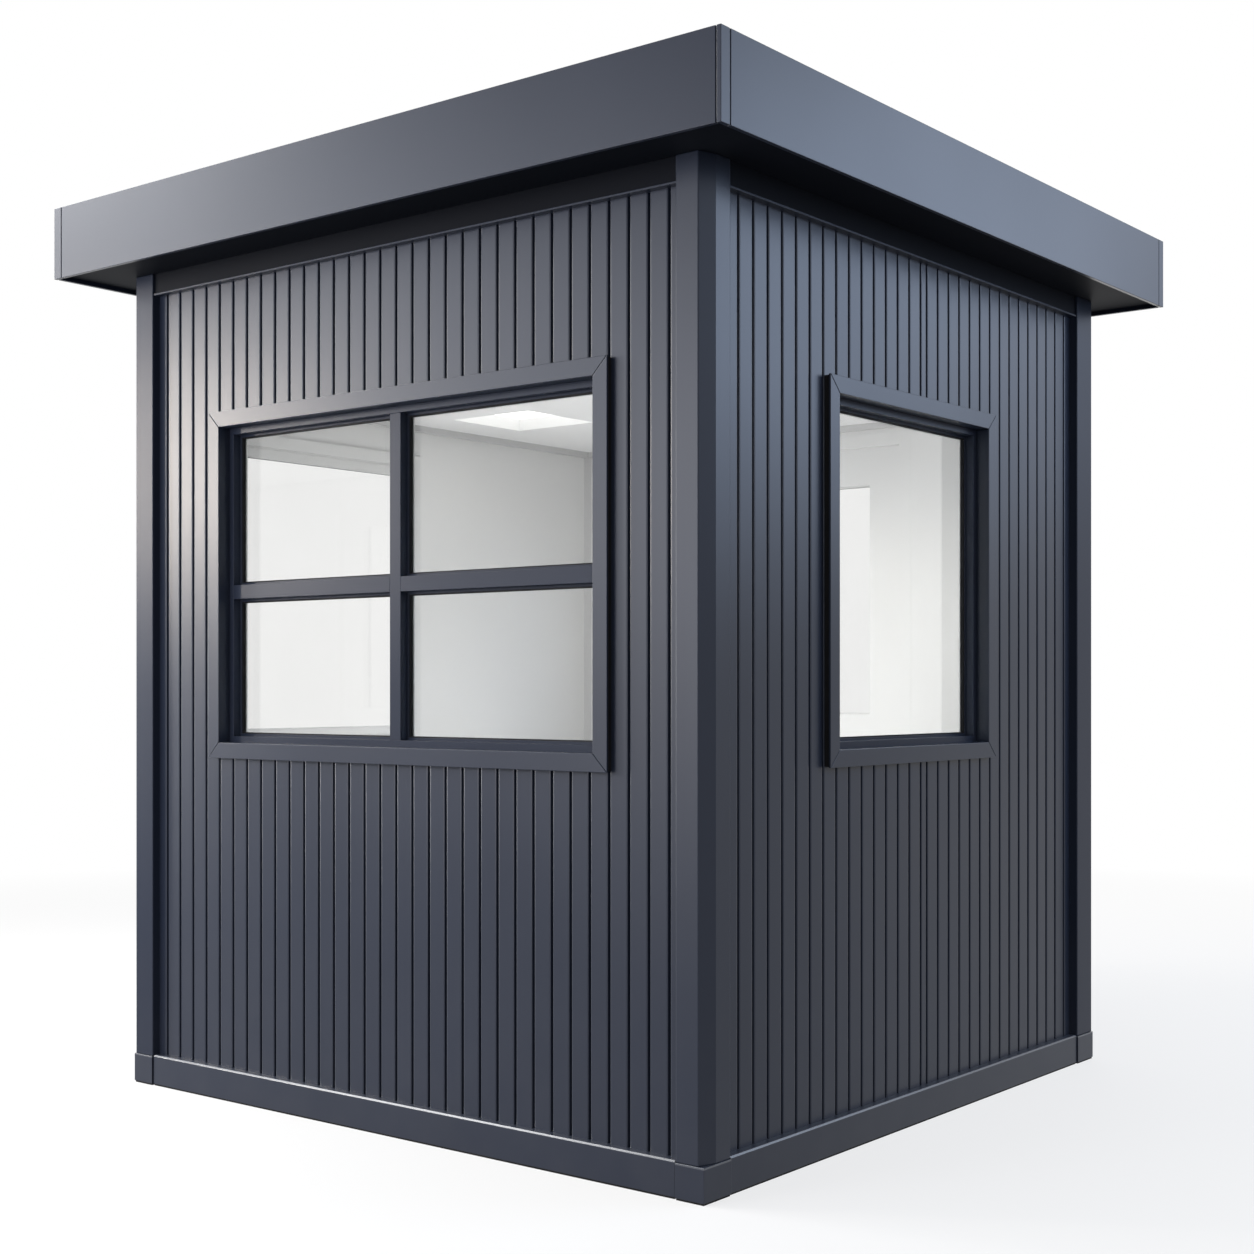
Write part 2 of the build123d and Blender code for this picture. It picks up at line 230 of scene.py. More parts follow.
def round_edges(mesh: BMesh, edges: list[BMEdge], width: float, segments: int = 2) -> None:
    """Bevel edges to a small radius.

    Args:
        mesh: Mesh that holds the edges.
        edges: Edges to bevel.
        width: Reach of the bevel on each face.
        segments: Facets across the bevel.
    """
    bmesh.ops.bevel(
        mesh,
        geom=edges,
        offset=width,
        offset_type="OFFSET",
        affect="EDGES",
        segments=segments,
        profile=0.5,
        material=-1,
        clamp_overlap=True,
    )


def merged_copy(node: str) -> BMesh:
    """Copy a node's mesh with its doubles merged and its flat faces whole.

    Args:
        node: Name of the node.

    Returns:
        The copy.
    """
    mesh = bmesh.new()
    mesh.from_mesh(frame["nodes"][node].data)
    bmesh.ops.remove_doubles(mesh, verts=mesh.verts[:], dist=MERGE_DISTANCE)
    bmesh.ops.dissolve_limit(
        mesh, angle_limit=FLAT_ANGLE, verts=mesh.verts[:], edges=mesh.edges[:]
    )
    return mesh


def cut_away(mesh: BMesh, point: Vector, away: Vector) -> None:
    """Cut a closed mesh at a plane, drop the part that lies away from it and close the cut.

    Args:
        mesh: Closed mesh to cut.
        point: A point of the plane.
        away: Direction in which the mesh is dropped.
    """
    geometry = [*mesh.verts, *mesh.edges, *mesh.faces]
    cut = bmesh.ops.bisect_plane(
        mesh, geom=geometry, dist=MERGE_DISTANCE, plane_co=point, plane_no=away, clear_outer=True
    )
    rim = [part for part in cut["geom_cut"] if isinstance(part, BMEdge)]
    bmesh.ops.triangle_fill(mesh, use_beauty=True, edges=rim)
    bmesh.ops.recalc_face_normals(mesh, faces=mesh.faces[:])


def islands(mesh: BMesh) -> list[Block]:
    """Boxes of the loose parts of a mesh, from left to right and from low to high.

    Args:
        mesh: The mesh to look through.

    Returns:
        One box for each loose part.
    """
    waiting = set(mesh.verts)
    blocks = []
    while waiting:
        group = {waiting.pop()}
        edge_of_group = set(group)
        while edge_of_group:
            linked = {edge.other_vert(v) for v in edge_of_group for edge in v.link_edges}
            edge_of_group = linked - group
            group |= linked
        waiting -= group
        blocks.append(Block.around(vertex.co.copy() for vertex in group))
    return sorted(
        blocks, key=lambda block: (round(block.low.x, ORDER_DIGITS), round(block.low.z, ORDER_DIGITS))
    )


def add_frame_ring(mesh: BMesh, block: Block, width: float) -> None:
    """Add a closed rectangular ring that fills a box's border.

    Args:
        mesh: Mesh that receives the ring.
        block: Outer box of the ring.
        width: Face width of the ring.
    """
    ring = bmesh.new()
    add_upright_sheet(ring, block)
    opening = ring.faces[:]
    bmesh.ops.inset_region(ring, faces=opening, thickness=width, use_even_offset=True, use_boundary=True)
    bmesh.ops.delete(ring, geom=opening, context="FACES")
    made = bmesh.ops.extrude_face_region(ring, geom=ring.faces[:], use_keep_orig=True)
    moved = [part for part in made["geom"] if isinstance(part, BMVert)]
    bmesh.ops.translate(ring, vec=Y_AXIS * block.size.y, verts=moved)
    bmesh.ops.recalc_face_normals(ring, faces=ring.faces[:])
    join(mesh, ring)


def join(target: BMesh, part: BMesh) -> None:
    """Add one mesh's geometry to another and free the first.

    Args:
        target: The mesh that grows.
        part: The mesh that is added and freed.
    """
    carrier = bpy.data.meshes.new("carrier")
    part.to_mesh(carrier)
    part.free()
    target.from_mesh(carrier)
    bpy.data.meshes.remove(carrier)


# Shader trees

MIX_FACTOR = 0
MIX_A = 6
MIX_B = 7
MIX_RESULT = 2
NOISE_LOW = 0.2
NOISE_HIGH = 0.8


class NodeBench:
    """Adds and links the nodes of one shader tree."""

    def __init__(self, tree: bpy.types.NodeTree) -> None:
        """Keep the tree that is worked on."""
        self.tree = tree

    def add(self, kind: str, inputs: dict | None = None, **options: object) -> bpy.types.Node:
        """Add a node.

        Args:
            kind: Blender's class name of the node.
            inputs: Values or sockets for the node's inputs, by name or number.
            **options: Settings of the node itself.

        Returns:
            The new node.
        """
        node = self.tree.nodes.new(kind)
        for option, value in options.items():
            setattr(node, option, value)
        for socket, value in (inputs or {}).items():
            self.feed(node.inputs[socket], value)
        return node

    def feed(self, socket: bpy.types.NodeSocket, value: SocketValue) -> None:
        """Link a socket into an input, or set a plain value on it.

        Args:
            socket: The input to feed.
            value: A socket to link, or a plain value.
        """
        if isinstance(value, bpy.types.NodeSocket):
            self.tree.links.new(value, socket)
        else:
            socket.default_value = value

    def math(self, operation: str, first: SocketValue, second: SocketValue = 0.0) -> bpy.types.NodeSocket:
        """The result of a Math node on two values."""
        node = self.add("ShaderNodeMath", {0: first, 1: second}, operation=operation)
        return node.outputs["Value"]

    def spread(self, value: SocketValue, low: SocketValue, high: SocketValue) -> bpy.types.NodeSocket:
        """A noise value's useful middle range stretched from low to high.

        Args:
            value: The noise value.
            low: Result at the low end of the range.
            high: Result at the high end of the range.

        Returns:
            The stretched value.
        """
        inputs = {
            "Value": value,
            "From Min": NOISE_LOW,
            "From Max": NOISE_HIGH,
            "To Min": low,
            "To Max": high,
        }
        return self.add("ShaderNodeMapRange", inputs, interpolation_type="SMOOTHSTEP").outputs["Result"]

    def mix(self, factor: SocketValue, first: SocketValue, second: SocketValue,
            blend: str = "MIX") -> bpy.types.NodeSocket:
        """The colour between two colours.

        Args:
            factor: Share of the second colour.
            first: The first colour.
            second: The second colour.
            blend: Name of the blend mode.

        Returns:
            The mixed colour.
        """
        inputs = {MIX_FACTOR: factor, MIX_A: first, MIX_B: second}
        node = self.add("ShaderNodeMix", inputs, data_type="RGBA", blend_type=blend)
        return node.outputs[MIX_RESULT]

    def noise(self, vector: SocketValue, scale: SocketValue, detail: float = 2.0) -> bpy.types.NodeSocket:
        """A noise texture's value."""
        inputs = {"Vector": vector, "Scale": scale, "Detail": detail}
        return self.add("ShaderNodeTexNoise", inputs).outputs["Fac"]

    def effect(self, group: bpy.types.NodeTree, inputs: dict) -> bpy.types.Node:
        """Place a node group with its own values.

        Args:
            group: The node group to place.
            inputs: Values for its inputs, by name.

        Returns:
            The group's node.
        """
        node = self.tree.nodes.new("ShaderNodeGroup")
        node.node_tree = group
        for socket, value in inputs.items():
            self.feed(node.inputs[socket], value)
        return node


FLOAT = "NodeSocketFloat"
COLOR = "NodeSocketColor"
VECTOR = "NodeSocketVector"


def new_group(name: str, takes: dict[str, str], gives: dict[str, str]) -> tuple:
    """Start a shader node group.

    Args:
        name: Name of the group.
        takes: Socket type of each input, by name.
        gives: Socket type of each output, by name.

    Returns:
        The group, its bench, its input sockets and its output sockets.
    """
    group = bpy.data.node_groups.new(name, "ShaderNodeTree")
    for socket, kind in takes.items():
        group.interface.new_socket(socket, in_out="INPUT", socket_type=kind)
    for socket, kind in gives.items():
        group.interface.new_socket(socket, in_out="OUTPUT", socket_type=kind)
    bench = NodeBench(group)
    taken = bench.add("NodeGroupInput").outputs
    given = bench.add("NodeGroupOutput").inputs
    return group, bench, taken, given


class Effects:
    """The shader node groups that several finishes share."""

    cloud_detail = 4.0
    grain_detail = 1.0
    wave_detail = 0.0
    blotch_scale = 9.0
    blotch_detail = 6.0
    blotch_low = 0.3

    def __init__(self) -> None:
        """Build each group once."""
        self.cloud_tone = self.make_cloud_tone()
        self.coat_grain = self.make_coat_grain()
        self.sheet_wave = self.make_sheet_wave()
        self.low_dust = self.make_low_dust()

    def make_cloud_tone(self) -> bpy.types.NodeTree:
        """A colour that drifts a little lighter and darker over the surface.

        Returns:
            The node group.
        """
        takes = {"Vector": VECTOR, "Tone": COLOR, "Scale": FLOAT, "Shift": FLOAT}
        group, bench, taken, given = new_group("cloud_tone", takes, {"Tone": COLOR})
        cloud = bench.noise(taken["Vector"], taken["Scale"], self.cloud_detail)
        darker = bench.math("SUBTRACT", 1.0, taken["Shift"])
        lighter = bench.math("ADD", 1.0, taken["Shift"])
        share = bench.spread(cloud, darker, lighter)
        bench.feed(given["Tone"], bench.mix(1.0, taken["Tone"], share, "MULTIPLY"))
        return group

    def make_coat_grain(self) -> bpy.types.NodeTree:
        """The fine relief of a coating, and gloss that varies in soft patches.

        Returns:
            The node group.
        """
        takes = {"Vector": VECTOR, "Scale": FLOAT, "Patch Scale": FLOAT, "Smooth": FLOAT, "Rough": FLOAT}
        gives = {"Height": FLOAT, "Roughness": FLOAT}
        group, bench, taken, given = new_group("coat_grain", takes, gives)
        fine = bench.noise(taken["Vector"], taken["Scale"], self.grain_detail)
        bench.feed(given["Height"], fine)
        patch = bench.noise(taken["Vector"], taken["Patch Scale"], self.grain_detail)
        bench.feed(given["Roughness"], bench.spread(patch, taken["Smooth"], taken["Rough"]))
        return group

    def make_sheet_wave(self) -> bpy.types.NodeTree:
        """The long shallow waves of thin sheet.

        Returns:
            The node group.
        """
        takes = {"Vector": VECTOR, "Scale": FLOAT, "Grain Height": FLOAT, "Wave Share": FLOAT}
        group, bench, taken, given = new_group("sheet_wave", takes, {"Height": FLOAT})
        wave = bench.noise(taken["Vector"], taken["Scale"], self.wave_detail)
        raised = bench.math("MULTIPLY", wave, taken["Wave Share"])
        bench.feed(given["Height"], bench.math("ADD", taken["Grain Height"], raised))
        return group

    def make_low_dust(self) -> bpy.types.NodeTree:
        """A thin film of dust that gathers towards the ground.

        Returns:
            The node group.
        """
        takes = {"Vector": VECTOR, "Tone": COLOR, "Dust": COLOR, "Reach": FLOAT, "Amount": FLOAT}
        group, bench, taken, given = new_group("low_dust", takes, {"Tone": COLOR, "Mask": FLOAT})
        level = bench.add("ShaderNodeSeparateXYZ", {0: taken["Vector"]}).outputs["Z"]
        inputs = {"Value": level, "From Max": taken["Reach"], "To Min": taken["Amount"], "To Max": 0.0}
        film = bench.add("ShaderNodeMapRange", inputs).outputs["Result"]
        patch = bench.noise(taken["Vector"], self.blotch_scale, self.blotch_detail)
        mask = bench.math("MULTIPLY", film, bench.spread(patch, self.blotch_low, 1.0))
        bench.feed(given["Mask"], mask)
        bench.feed(given["Tone"], bench.mix(mask, taken["Tone"], taken["Dust"]))
        return group


class MaterialBench(NodeBench):
    """The tree of one material, with its surface coordinates and shader at hand."""

    def __init__(self, name: str) -> None:
        """Start a material that has only a Principled shader.

        Args:
            name: Name of the material.
        """
        self.material = bpy.data.materials.new(name)
        self.material.use_nodes = True
        super().__init__(self.material.node_tree)
        self.tree.nodes.clear()
        self.shader = self.add("ShaderNodeBsdfPrincipled")
        self.output = self.add("ShaderNodeOutputMaterial", {"Surface": self.shader.outputs["BSDF"]})
        self.place = self.add("ShaderNodeTexCoord").outputs["Object"]

    def stretched(self, scale: tuple[float, float, float]) -> bpy.types.NodeSocket:
        """Surface coordinates with each axis scaled."""
        return self.add("ShaderNodeMapping", {"Vector": self.place, "Scale": scale}).outputs["Vector"]

    def set(self, **values: SocketValue) -> None:
        """Set or link the shader's inputs, named with underscores for spaces."""
        for name, value in values.items():
            self.feed(self.shader.inputs[name.replace("_", " ")], value)

    def bump(self, height: bpy.types.NodeSocket, depth: float, strength: float = 1.0) -> None:
        """Raise the surface by a height value, up to a depth in metres."""
        inputs = {"Height": height, "Distance": depth, "Strength": strength}
        self.feed(self.shader.inputs["Normal"], self.add("ShaderNodeBump", inputs).outputs["Normal"])


def solid(color: Color) -> tuple[float, float, float, float]:
    """A colour with full opacity."""
    return (*color, 1.0)


# Finishes


@dataclass(frozen=True)
class SurfaceFinish:
    """A finish whose colour drifts a little and whose gloss varies in soft patches."""

    color: Color
    cloud_scale: float
    cloud_shift: float
    grain_scale: float
    patch_scale: float
    smooth: float
    rough: float
    relief: float = 0.0

    def build(self, name: str, effects: Effects) -> bpy.types.Material:
        """Build the material under a name.

        Args:
            name: Name of the material.
            effects: The shared effects.

        Returns:
            The material.
        """
        bench = MaterialBench(name)
        self.dress(bench, effects)
        return bench.material

    def dress(self, bench: MaterialBench, effects: Effects) -> None:
        """Feed the shader with the colour, the gloss and the relief.

        Args:
            bench: The material's tree.
            effects: The shared effects.
        """
        grain = self.grain(bench, effects, bench.place)
        bench.set(Base_Color=self.tone(bench, effects), Roughness=grain["Roughness"])
        bench.bump(grain["Height"], self.relief)

    def tone(self, bench: MaterialBench, effects: Effects) -> bpy.types.NodeSocket:
        """The drifting colour.

        Args:
            bench: The material's tree.
            effects: The shared effects.

        Returns:
            The colour's socket.
        """
        return bench.effect(effects.cloud_tone, {
            "Vector": bench.place,
            "Tone": solid(self.color),
            "Scale": self.cloud_scale,
            "Shift": self.cloud_shift,
        }).outputs["Tone"]

    def grain(self, bench: MaterialBench, effects: Effects, place: SocketValue) -> Sockets:
        """The fine grain and the patches of gloss.

        Args:
            bench: The material's tree.
            effects: The shared effects.
            place: The surface coordinates that the grain follows.

        Returns:
            The sockets Height and Roughness.
        """
        return bench.effect(effects.coat_grain, {
            "Vector": place,
            "Scale": self.grain_scale,
            "Patch Scale": self.patch_scale,
            "Smooth": self.smooth,
            "Rough": self.rough,
        }).outputs


@dataclass(frozen=True)
class PaintFinish(SurfaceFinish):
    """Satin powder coat on folded sheet metal."""

    cloud_scale: float = 3.0
    cloud_shift: float = 0.04
    grain_scale: float = 900.0
    patch_scale: float = 2.0
    smooth: float = 0.285
    rough: float = 0.325
    relief: float = 0.03 * MM
    specular_level: float = 0.23
    dust_amount: float = 0.05
    dust_reach: float = 0.5
    dust_color: Color = (0.20, 0.19, 0.18)
    wave_scale: float = 2.2
    wave_share: float = 6.0

    def dress(self, bench: MaterialBench, effects: Effects) -> None:
        """Feed the shader, with dust low down and the waves of the sheet.

        Args:
            bench: The material's tree.
            effects: The shared effects.
        """
        dusty = bench.effect(effects.low_dust, {
            "Vector": bench.place,
            "Tone": self.tone(bench, effects),
            "Dust": solid(self.dust_color),
            "Reach": self.dust_reach,
            "Amount": self.dust_amount,
        }).outputs["Tone"]
        grain = self.grain(bench, effects, bench.place)
        wave = bench.effect(effects.sheet_wave, {
            "Vector": bench.place,
            "Scale": self.wave_scale,
            "Grain Height": grain["Height"],
            "Wave Share": self.wave_share,
        }).outputs["Height"]
        bench.set(Base_Color=dusty, Roughness=grain["Roughness"], Specular_IOR_Level=self.specular_level)
        bench.bump(wave, self.relief)


@dataclass(frozen=True)
class LiningFinish(SurfaceFinish):
    """Pale painted lining board of the room, with a soft stipple."""

    cloud_scale: float = 2.0
    cloud_shift: float = 0.02
    grain_scale: float = 70.0
    patch_scale: float = 4.0
    smooth: float = 0.38
    rough: float = 0.5
    relief: float = 0.01 * MM


@dataclass(frozen=True)
class GlassFinish(SurfaceFinish):
    """Clear window glass that lets lamp light through, under a thin film of smudges."""

    color: Color = (0.93, 0.93, 0.925)
    cloud_scale: float = 2.5
    cloud_shift: float = 0.01
    grain_scale: float = 40.0
    patch_scale: float = 6.0
    smooth: float = 0.0
    rough: float = 0.003
    shadow_color: Color = (0.93, 0.95, 0.95)
    ior: float = 1.42

    def dress(self, bench: MaterialBench, effects: Effects) -> None:
        """Feed the shader, and let shadow and diffuse rays pass straight through.

        Args:
            bench: The material's tree.
            effects: The shared effects.
        """
        film = self.grain(bench, effects, bench.place)["Roughness"]
        tone = self.tone(bench, effects)
        bench.set(Base_Color=tone, Roughness=film, IOR=self.ior, Transmission_Weight=1.0)
        path = bench.add("ShaderNodeLightPath").outputs
        through = bench.math("MAXIMUM", path["Is Shadow Ray"], path["Is Diffuse Ray"])
        clear = bench.add("ShaderNodeBsdfTransparent", {"Color": solid(self.shadow_color)})
        inputs = {0: through, 1: bench.shader.outputs["BSDF"], 2: clear.outputs["BSDF"]}
        mixed = bench.add("ShaderNodeMixShader", inputs)
        bench.feed(bench.output.inputs["Surface"], mixed.outputs["Shader"])


@dataclass(frozen=True)
class FloorSheetFinish(SurfaceFinish):
    """Speckled sheet flooring."""

    cloud_scale: float = 3.0
    cloud_shift: float = 0.08
    grain_scale: float = 500.0
    patch_scale: float = 6.0
    smooth: float = 0.35
    rough: float = 0.55
    relief: float = 0.1 * MM
    fleck_color: Color = (0.42, 0.43, 0.44)
    fleck_scale: float = 220.0
    fleck_start: float = 0.58
    fleck_full: float = 0.64

    def dress(self, bench: MaterialBench, effects: Effects) -> None:
        """Feed the shader, with pale flecks over the colour.

        Args:
            bench: The material's tree.
            effects: The shared effects.
        """
        fleck = bench.noise(bench.place, self.fleck_scale)
        inputs = {"Value": fleck, "From Min": self.fleck_start, "From Max": self.fleck_full}
        mask = bench.add("ShaderNodeMapRange", inputs).outputs["Result"]
        grain = self.grain(bench, effects, bench.place)
        speckled = bench.mix(mask, self.tone(bench, effects), solid(self.fleck_color))
        bench.set(Base_Color=speckled, Roughness=grain["Roughness"])
        bench.bump(grain["Height"], self.relief)


@dataclass(frozen=True)
class MembraneFinish(SurfaceFinish):
    """Mineral roof membrane with small granules."""

    cloud_scale: float = 2.2
    cloud_shift: float = 0.22
    grain_scale: float = 300.0
    patch_scale: float = 3.0
    smooth: float = 0.75
    rough: float = 0.95
    relief: float = 0.6 * MM
    granule_scale: float = 420.0
    granule_share: float = 0.35

    def dress(self, bench: MaterialBench, effects: Effects) -> None:
        """Feed the shader, with the colour and relief of the granules.

        Args:
            bench: The material's tree.
            effects: The shared effects.
        """
        inputs = {"Vector": bench.place, "Scale": self.granule_scale}
        stone = bench.add("ShaderNodeTexVoronoi", inputs).outputs
        tone = self.tone(bench, effects)
        granule = bench.mix(self.granule_share, tone, stone["Color"], "OVERLAY")
        grain = self.grain(bench, effects, bench.place)
        bench.set(Base_Color=granule, Roughness=grain["Roughness"])
        bench.bump(stone["Distance"], self.relief)


@dataclass(frozen=True)
class DiffuserFinish(SurfaceFinish):
    """Opal diffuser of the ceiling light, lit from behind."""

    color: Color = (0.9, 0.9, 0.88)
    cloud_scale: float = 6.0
    cloud_shift: float = 0.015
    grain_scale: float = 700.0
    patch_scale: float = 8.0
    smooth: float = 0.3
    rough: float = 0.4
    relief: float = 0.02 * MM
    glow: float = 1.1

    def dress(self, bench: MaterialBench, effects: Effects) -> None:
        """Feed the shader and let it glow in its own colour."""
        super().dress(bench, effects)
        bench.set(Emission_Color=self.tone(bench, effects), Emission_Strength=self.glow)


@dataclass(frozen=True)
class SteelFinish(SurfaceFinish):
    """Stainless steel brushed along the height."""

    color: Color = (0.56, 0.57, 0.58)
    cloud_scale: float = 20.0
    cloud_shift: float = 0.08
    grain_scale: float = 1.0
    patch_scale: float = 0.4
    smooth: float = 0.24
    rough: float = 0.4
    relief: float = 0.05 * MM
    brush_scale: tuple[float, float, float] = (900.0, 900.0, 25.0)

    def dress(self, bench: MaterialBench, effects: Effects) -> None:
        """Feed the shader, with the grain drawn out along the brush lines.

        Args:
            bench: The material's tree.
            effects: The shared effects.
        """
        grain = self.grain(bench, effects, bench.stretched(self.brush_scale))
        tone = self.tone(bench, effects)
        bench.set(Base_Color=tone, Roughness=grain["Roughness"], Metallic=1.0)
        bench.bump(grain["Height"], self.relief)


@dataclass(frozen=True)
class RubberFinish(SurfaceFinish):
    """Matt black sealing rubber."""

    color: Color = (0.006, 0.006, 0.007)
    cloud_scale: float = 25.0
    cloud_shift: float = 0.3
    grain_scale: float = 1200.0
    patch_scale: float = 12.0
    smooth: float = 0.6
    rough: float = 0.8
    relief: float = 0.08 * MM
    specular_level: float = 0.15

    def dress(self, bench: MaterialBench, effects: Effects) -> None:
        """Feed the shader and dull its mirror."""
        super().dress(bench, effects)
        bench.set(Specular_IOR_Level=self.specular_level)


class Finish(Enum):
    """The booth's finishes, named after the record's material slots where they have one."""

    PAINT = "anthracite_paint"
    # A copy of the anthracite paint with a dimmed sheen: painted shade on the window frames, mullion,
    # transoms, door frame, leaf and moulding.
    FRAME = "frame_paint"
    # A copy of the anthracite paint with a dimmed sheen: painted shade on the three plain corner posts.
    POST = "post_paint"
    # A lighter, glossier copy of the anthracite paint: a painted highlight on the base nosings.
    EDGE = "edge_paint"
    # A near-black copy of the anthracite paint: painted shade under the eaves, on the soffit and the head
    # rails.
    SOFFIT = "soffit_paint"
    LINING = "pale_lining"
    CEILING = "ceiling_lining"
    TRIM = "trim_lining"
    GLASS = "clear_glass"
    FLOOR = "floor_sheet"
    ROOF = "roof_membrane"
    DIFFUSER = "light_diffuser"
    STEEL = "satin_steel"
    RUBBER = "black_rubber"

    @property
    def slot(self) -> str:
        """The record's slot that the finish belongs to."""
        return SHARED_SLOTS.get(self, self).value


SHARED_SLOTS: dict[Finish, Finish] = {
    Finish.FRAME: Finish.PAINT,
    Finish.POST: Finish.PAINT,
    Finish.EDGE: Finish.PAINT,
    Finish.CEILING: Finish.LINING,
    Finish.TRIM: Finish.LINING,
}

FINISH_MAKERS: dict[Finish, SurfaceFinish] = {
    Finish.PAINT: PaintFinish(color=(0.016, 0.021, 0.036)),
    # Frame paint: a dimmed-sheen copy of the anthracite paint, painted shade.
    Finish.FRAME: PaintFinish(color=(0.018, 0.023, 0.038), smooth=0.3, rough=0.36, specular_level=0.09),
    # Post paint: a dimmed-sheen copy of the anthracite paint, painted shade.
    Finish.POST: PaintFinish(color=(0.016, 0.021, 0.036), smooth=0.29, rough=0.33, specular_level=0.095),
    # Edge paint: a lighter, glossier copy of the anthracite paint, a painted highlight.
    Finish.EDGE: PaintFinish(color=(0.022, 0.028, 0.044), smooth=0.29, rough=0.33, specular_level=0.9),
    # Soffit paint: a near-black copy of the anthracite paint, painted shade under the eaves.
    Finish.SOFFIT: PaintFinish(
        color=(0.005, 0.006, 0.009), smooth=0.5, rough=0.6, specular_level=0.03, dust_amount=0.0
    ),
    Finish.LINING: LiningFinish(color=(0.68, 0.68, 0.675)),
    Finish.CEILING: LiningFinish(color=(0.88, 0.88, 0.88)),
    Finish.TRIM: LiningFinish(color=(0.5, 0.5, 0.5)),
    Finish.GLASS: GlassFinish(),
    Finish.FLOOR: FloorSheetFinish(color=(0.24, 0.25, 0.26)),
    Finish.ROOF: MembraneFinish(color=(0.075, 0.078, 0.083)),
    Finish.DIFFUSER: DiffuserFinish(),
    Finish.STEEL: SteelFinish(),
    Finish.RUBBER: RubberFinish(),
}


class Workbench:
    """Turns finished meshes into pieces that ride on the booth."""

    def __init__(self) -> None:
        """Build every finish once."""
        effects = Effects()
        self.materials = {
            finish: maker.build(finish.value, effects) for finish, maker in FINISH_MAKERS.items()
        }
        self.slots = {row["slot"] for row in frame["record"]["materials"]}

    def add(self, name: str, mesh: BMesh, finish: Finish, *nodes: str, smooth: bool = False) -> None:
        """Make a piece of a mesh and free the mesh.

        Args:
            name: Name of the piece.
            mesh: Finished mesh, in its place.
            finish: Finish of the piece.
            *nodes: Nodes that the piece stands for.
            smooth: Whether its rounded faces are shaded smooth.
        """
        data = bpy.data.meshes.new(name)
        mesh.to_mesh(data)
        mesh.free()
        for attribute in ("custom_normal", "sharp_face", "sharp_edge"):
            if attribute in data.attributes:
                data.attributes.remove(data.attributes[attribute])
        data.materials.clear()
        data.materials.append(self.materials[finish])
        if smooth:
            data.shade_smooth()
            data.set_sharp_from_angle(angle=SHARP_ANGLE)
        else:
            data.shade_flat()
        piece = bpy.data.objects.new(name, data)
        bpy.context.scene.collection.objects.link(piece)
        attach(piece, BODY)
        if nodes:
            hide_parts(*nodes)
        log.info("piece %s: %d faces, %s", name, len(data.polygons), finish.value)

    def dress(self, node: str, finish: Finish) -> None:
        """Give a node its finish and leave its shape alone.

        Args:
            node: Name of the node.
            finish: The finish to give it.
        """
        data = frame["nodes"][node].data
        data.materials.clear()
        data.materials.append(self.materials[finish])
        log.info("node %s: %s", node, finish.value)

    def soften_halves(self, node: str, radius: float, point: Vector, outward: Vector,
                      outer: Finish = Finish.FRAME, inner: Finish = Finish.LINING) -> None:
        """Stand two rounded halves of different finishes in for a node.

        Args:
            node: Node to copy and hide.
            radius: Reach of the rounding on each face.
            point: A point of the plane where the halves meet.
            outward: Direction from the inner half to the outer half.
            outer: Finish of the outer half.
            inner: Finish of the inner half.
        """
        # By default the outer half takes the frame paint with a dimmed sheen, which is painted shade.
        for suffix, finish, away in (("outer", outer, -outward), ("inner", inner, outward)):
            mesh = merged_copy(node)
            round_edges(mesh, sharp_edges(mesh), radius)
            cut_away(mesh, point, away)
            self.add(f"{node}_{suffix}", mesh, finish, node)

    def soften(self, node: str, finish: Finish, radius: float, smooth: bool = False) -> None:
        """Stand a copy with rounded edges in for a node.

        Args:
            node: Node to copy and hide.
            finish: Finish of the copy.
            radius: Reach of the rounding on each face.
            smooth: Whether its rounded faces are shaded smooth.
        """
        mesh = merged_copy(node)
        round_edges(mesh, sharp_edges(mesh), radius)
        self.add(f"{node}_skin", mesh, finish, node, smooth=smooth)


# Sub-assemblies


@dataclass
class BaseFrame:
    """Base rails and corner blocks with nosings in painted highlight, on a dark sealing strip that also
    stands in for the contact shade at the ground, and the floor between them.
    """

    edge_radius: float = 0.8 * MM
    strip_height: float = 5.0 * MM
    strip_inset: float = 2.5 * MM
    nosing_height: float = 4.5 * MM

    def build(self, bench: Workbench) -> None:
        """Build and dress the base.

        Args:
            bench: Workbench that adds and dresses the pieces.
        """
        # A black rubber strip under the rails and blocks: a seal, and also painted shade for the dark
        # contact line at the ground.
        strip = bmesh.new()
        foot = Z_AXIS * self.strip_height
        for node in ("base_rails", "base_corner_blocks"):
            mesh = merged_copy(node)
            for block in islands(mesh):
                below = block.shrunk(x=self.strip_inset, y=self.strip_inset)
                top = Vector((below.high.x, below.high.y, self.strip_height))
                add_block(strip, Block(below.low, top))
            cut_away(mesh, foot, -Z_AXIS)
            round_edges(mesh, sharp_edges(mesh), self.edge_radius)
            # The top band of each rail and block takes the lighter, glossier edge paint, a painted
            # highlight.
            highlight_nosing = mesh.copy()
            ledge = Z_AXIS * (Side.FRONT.block(node).high.z - self.nosing_height)
            cut_away(mesh, ledge, Z_AXIS)
            cut_away(highlight_nosing, ledge, -Z_AXIS)
            bench.add(f"{node}_skin", mesh, Finish.PAINT, node)
            bench.add(f"{node}_nosing", highlight_nosing, Finish.EDGE, node)
        bench.add("base_seal_and_shade_strip", strip, Finish.RUBBER)
        bench.dress("floor_deck", Finish.FLOOR)


@dataclass
class CornerPosts:
    """The chamfered corner post and the three plain ones."""

    edge_radius: float = 2.5 * MM
    chamfered: str = "front_right"
    plain: tuple[str, ...] = ("back_right", "back_left", "front_left")

    def build(self, bench: Workbench) -> None:
        """Build and dress the posts.

        Args:
            bench: Workbench that adds and dresses the pieces.
        """
        bench.soften(f"corner_post_{self.chamfered}", Finish.PAINT, self.edge_radius)
        for corner in self.plain:
            # The plain posts take a copy of the paint with a dimmed sheen, which is painted shade.
            bench.soften(f"corner_post_{corner}", Finish.POST, self.edge_radius)


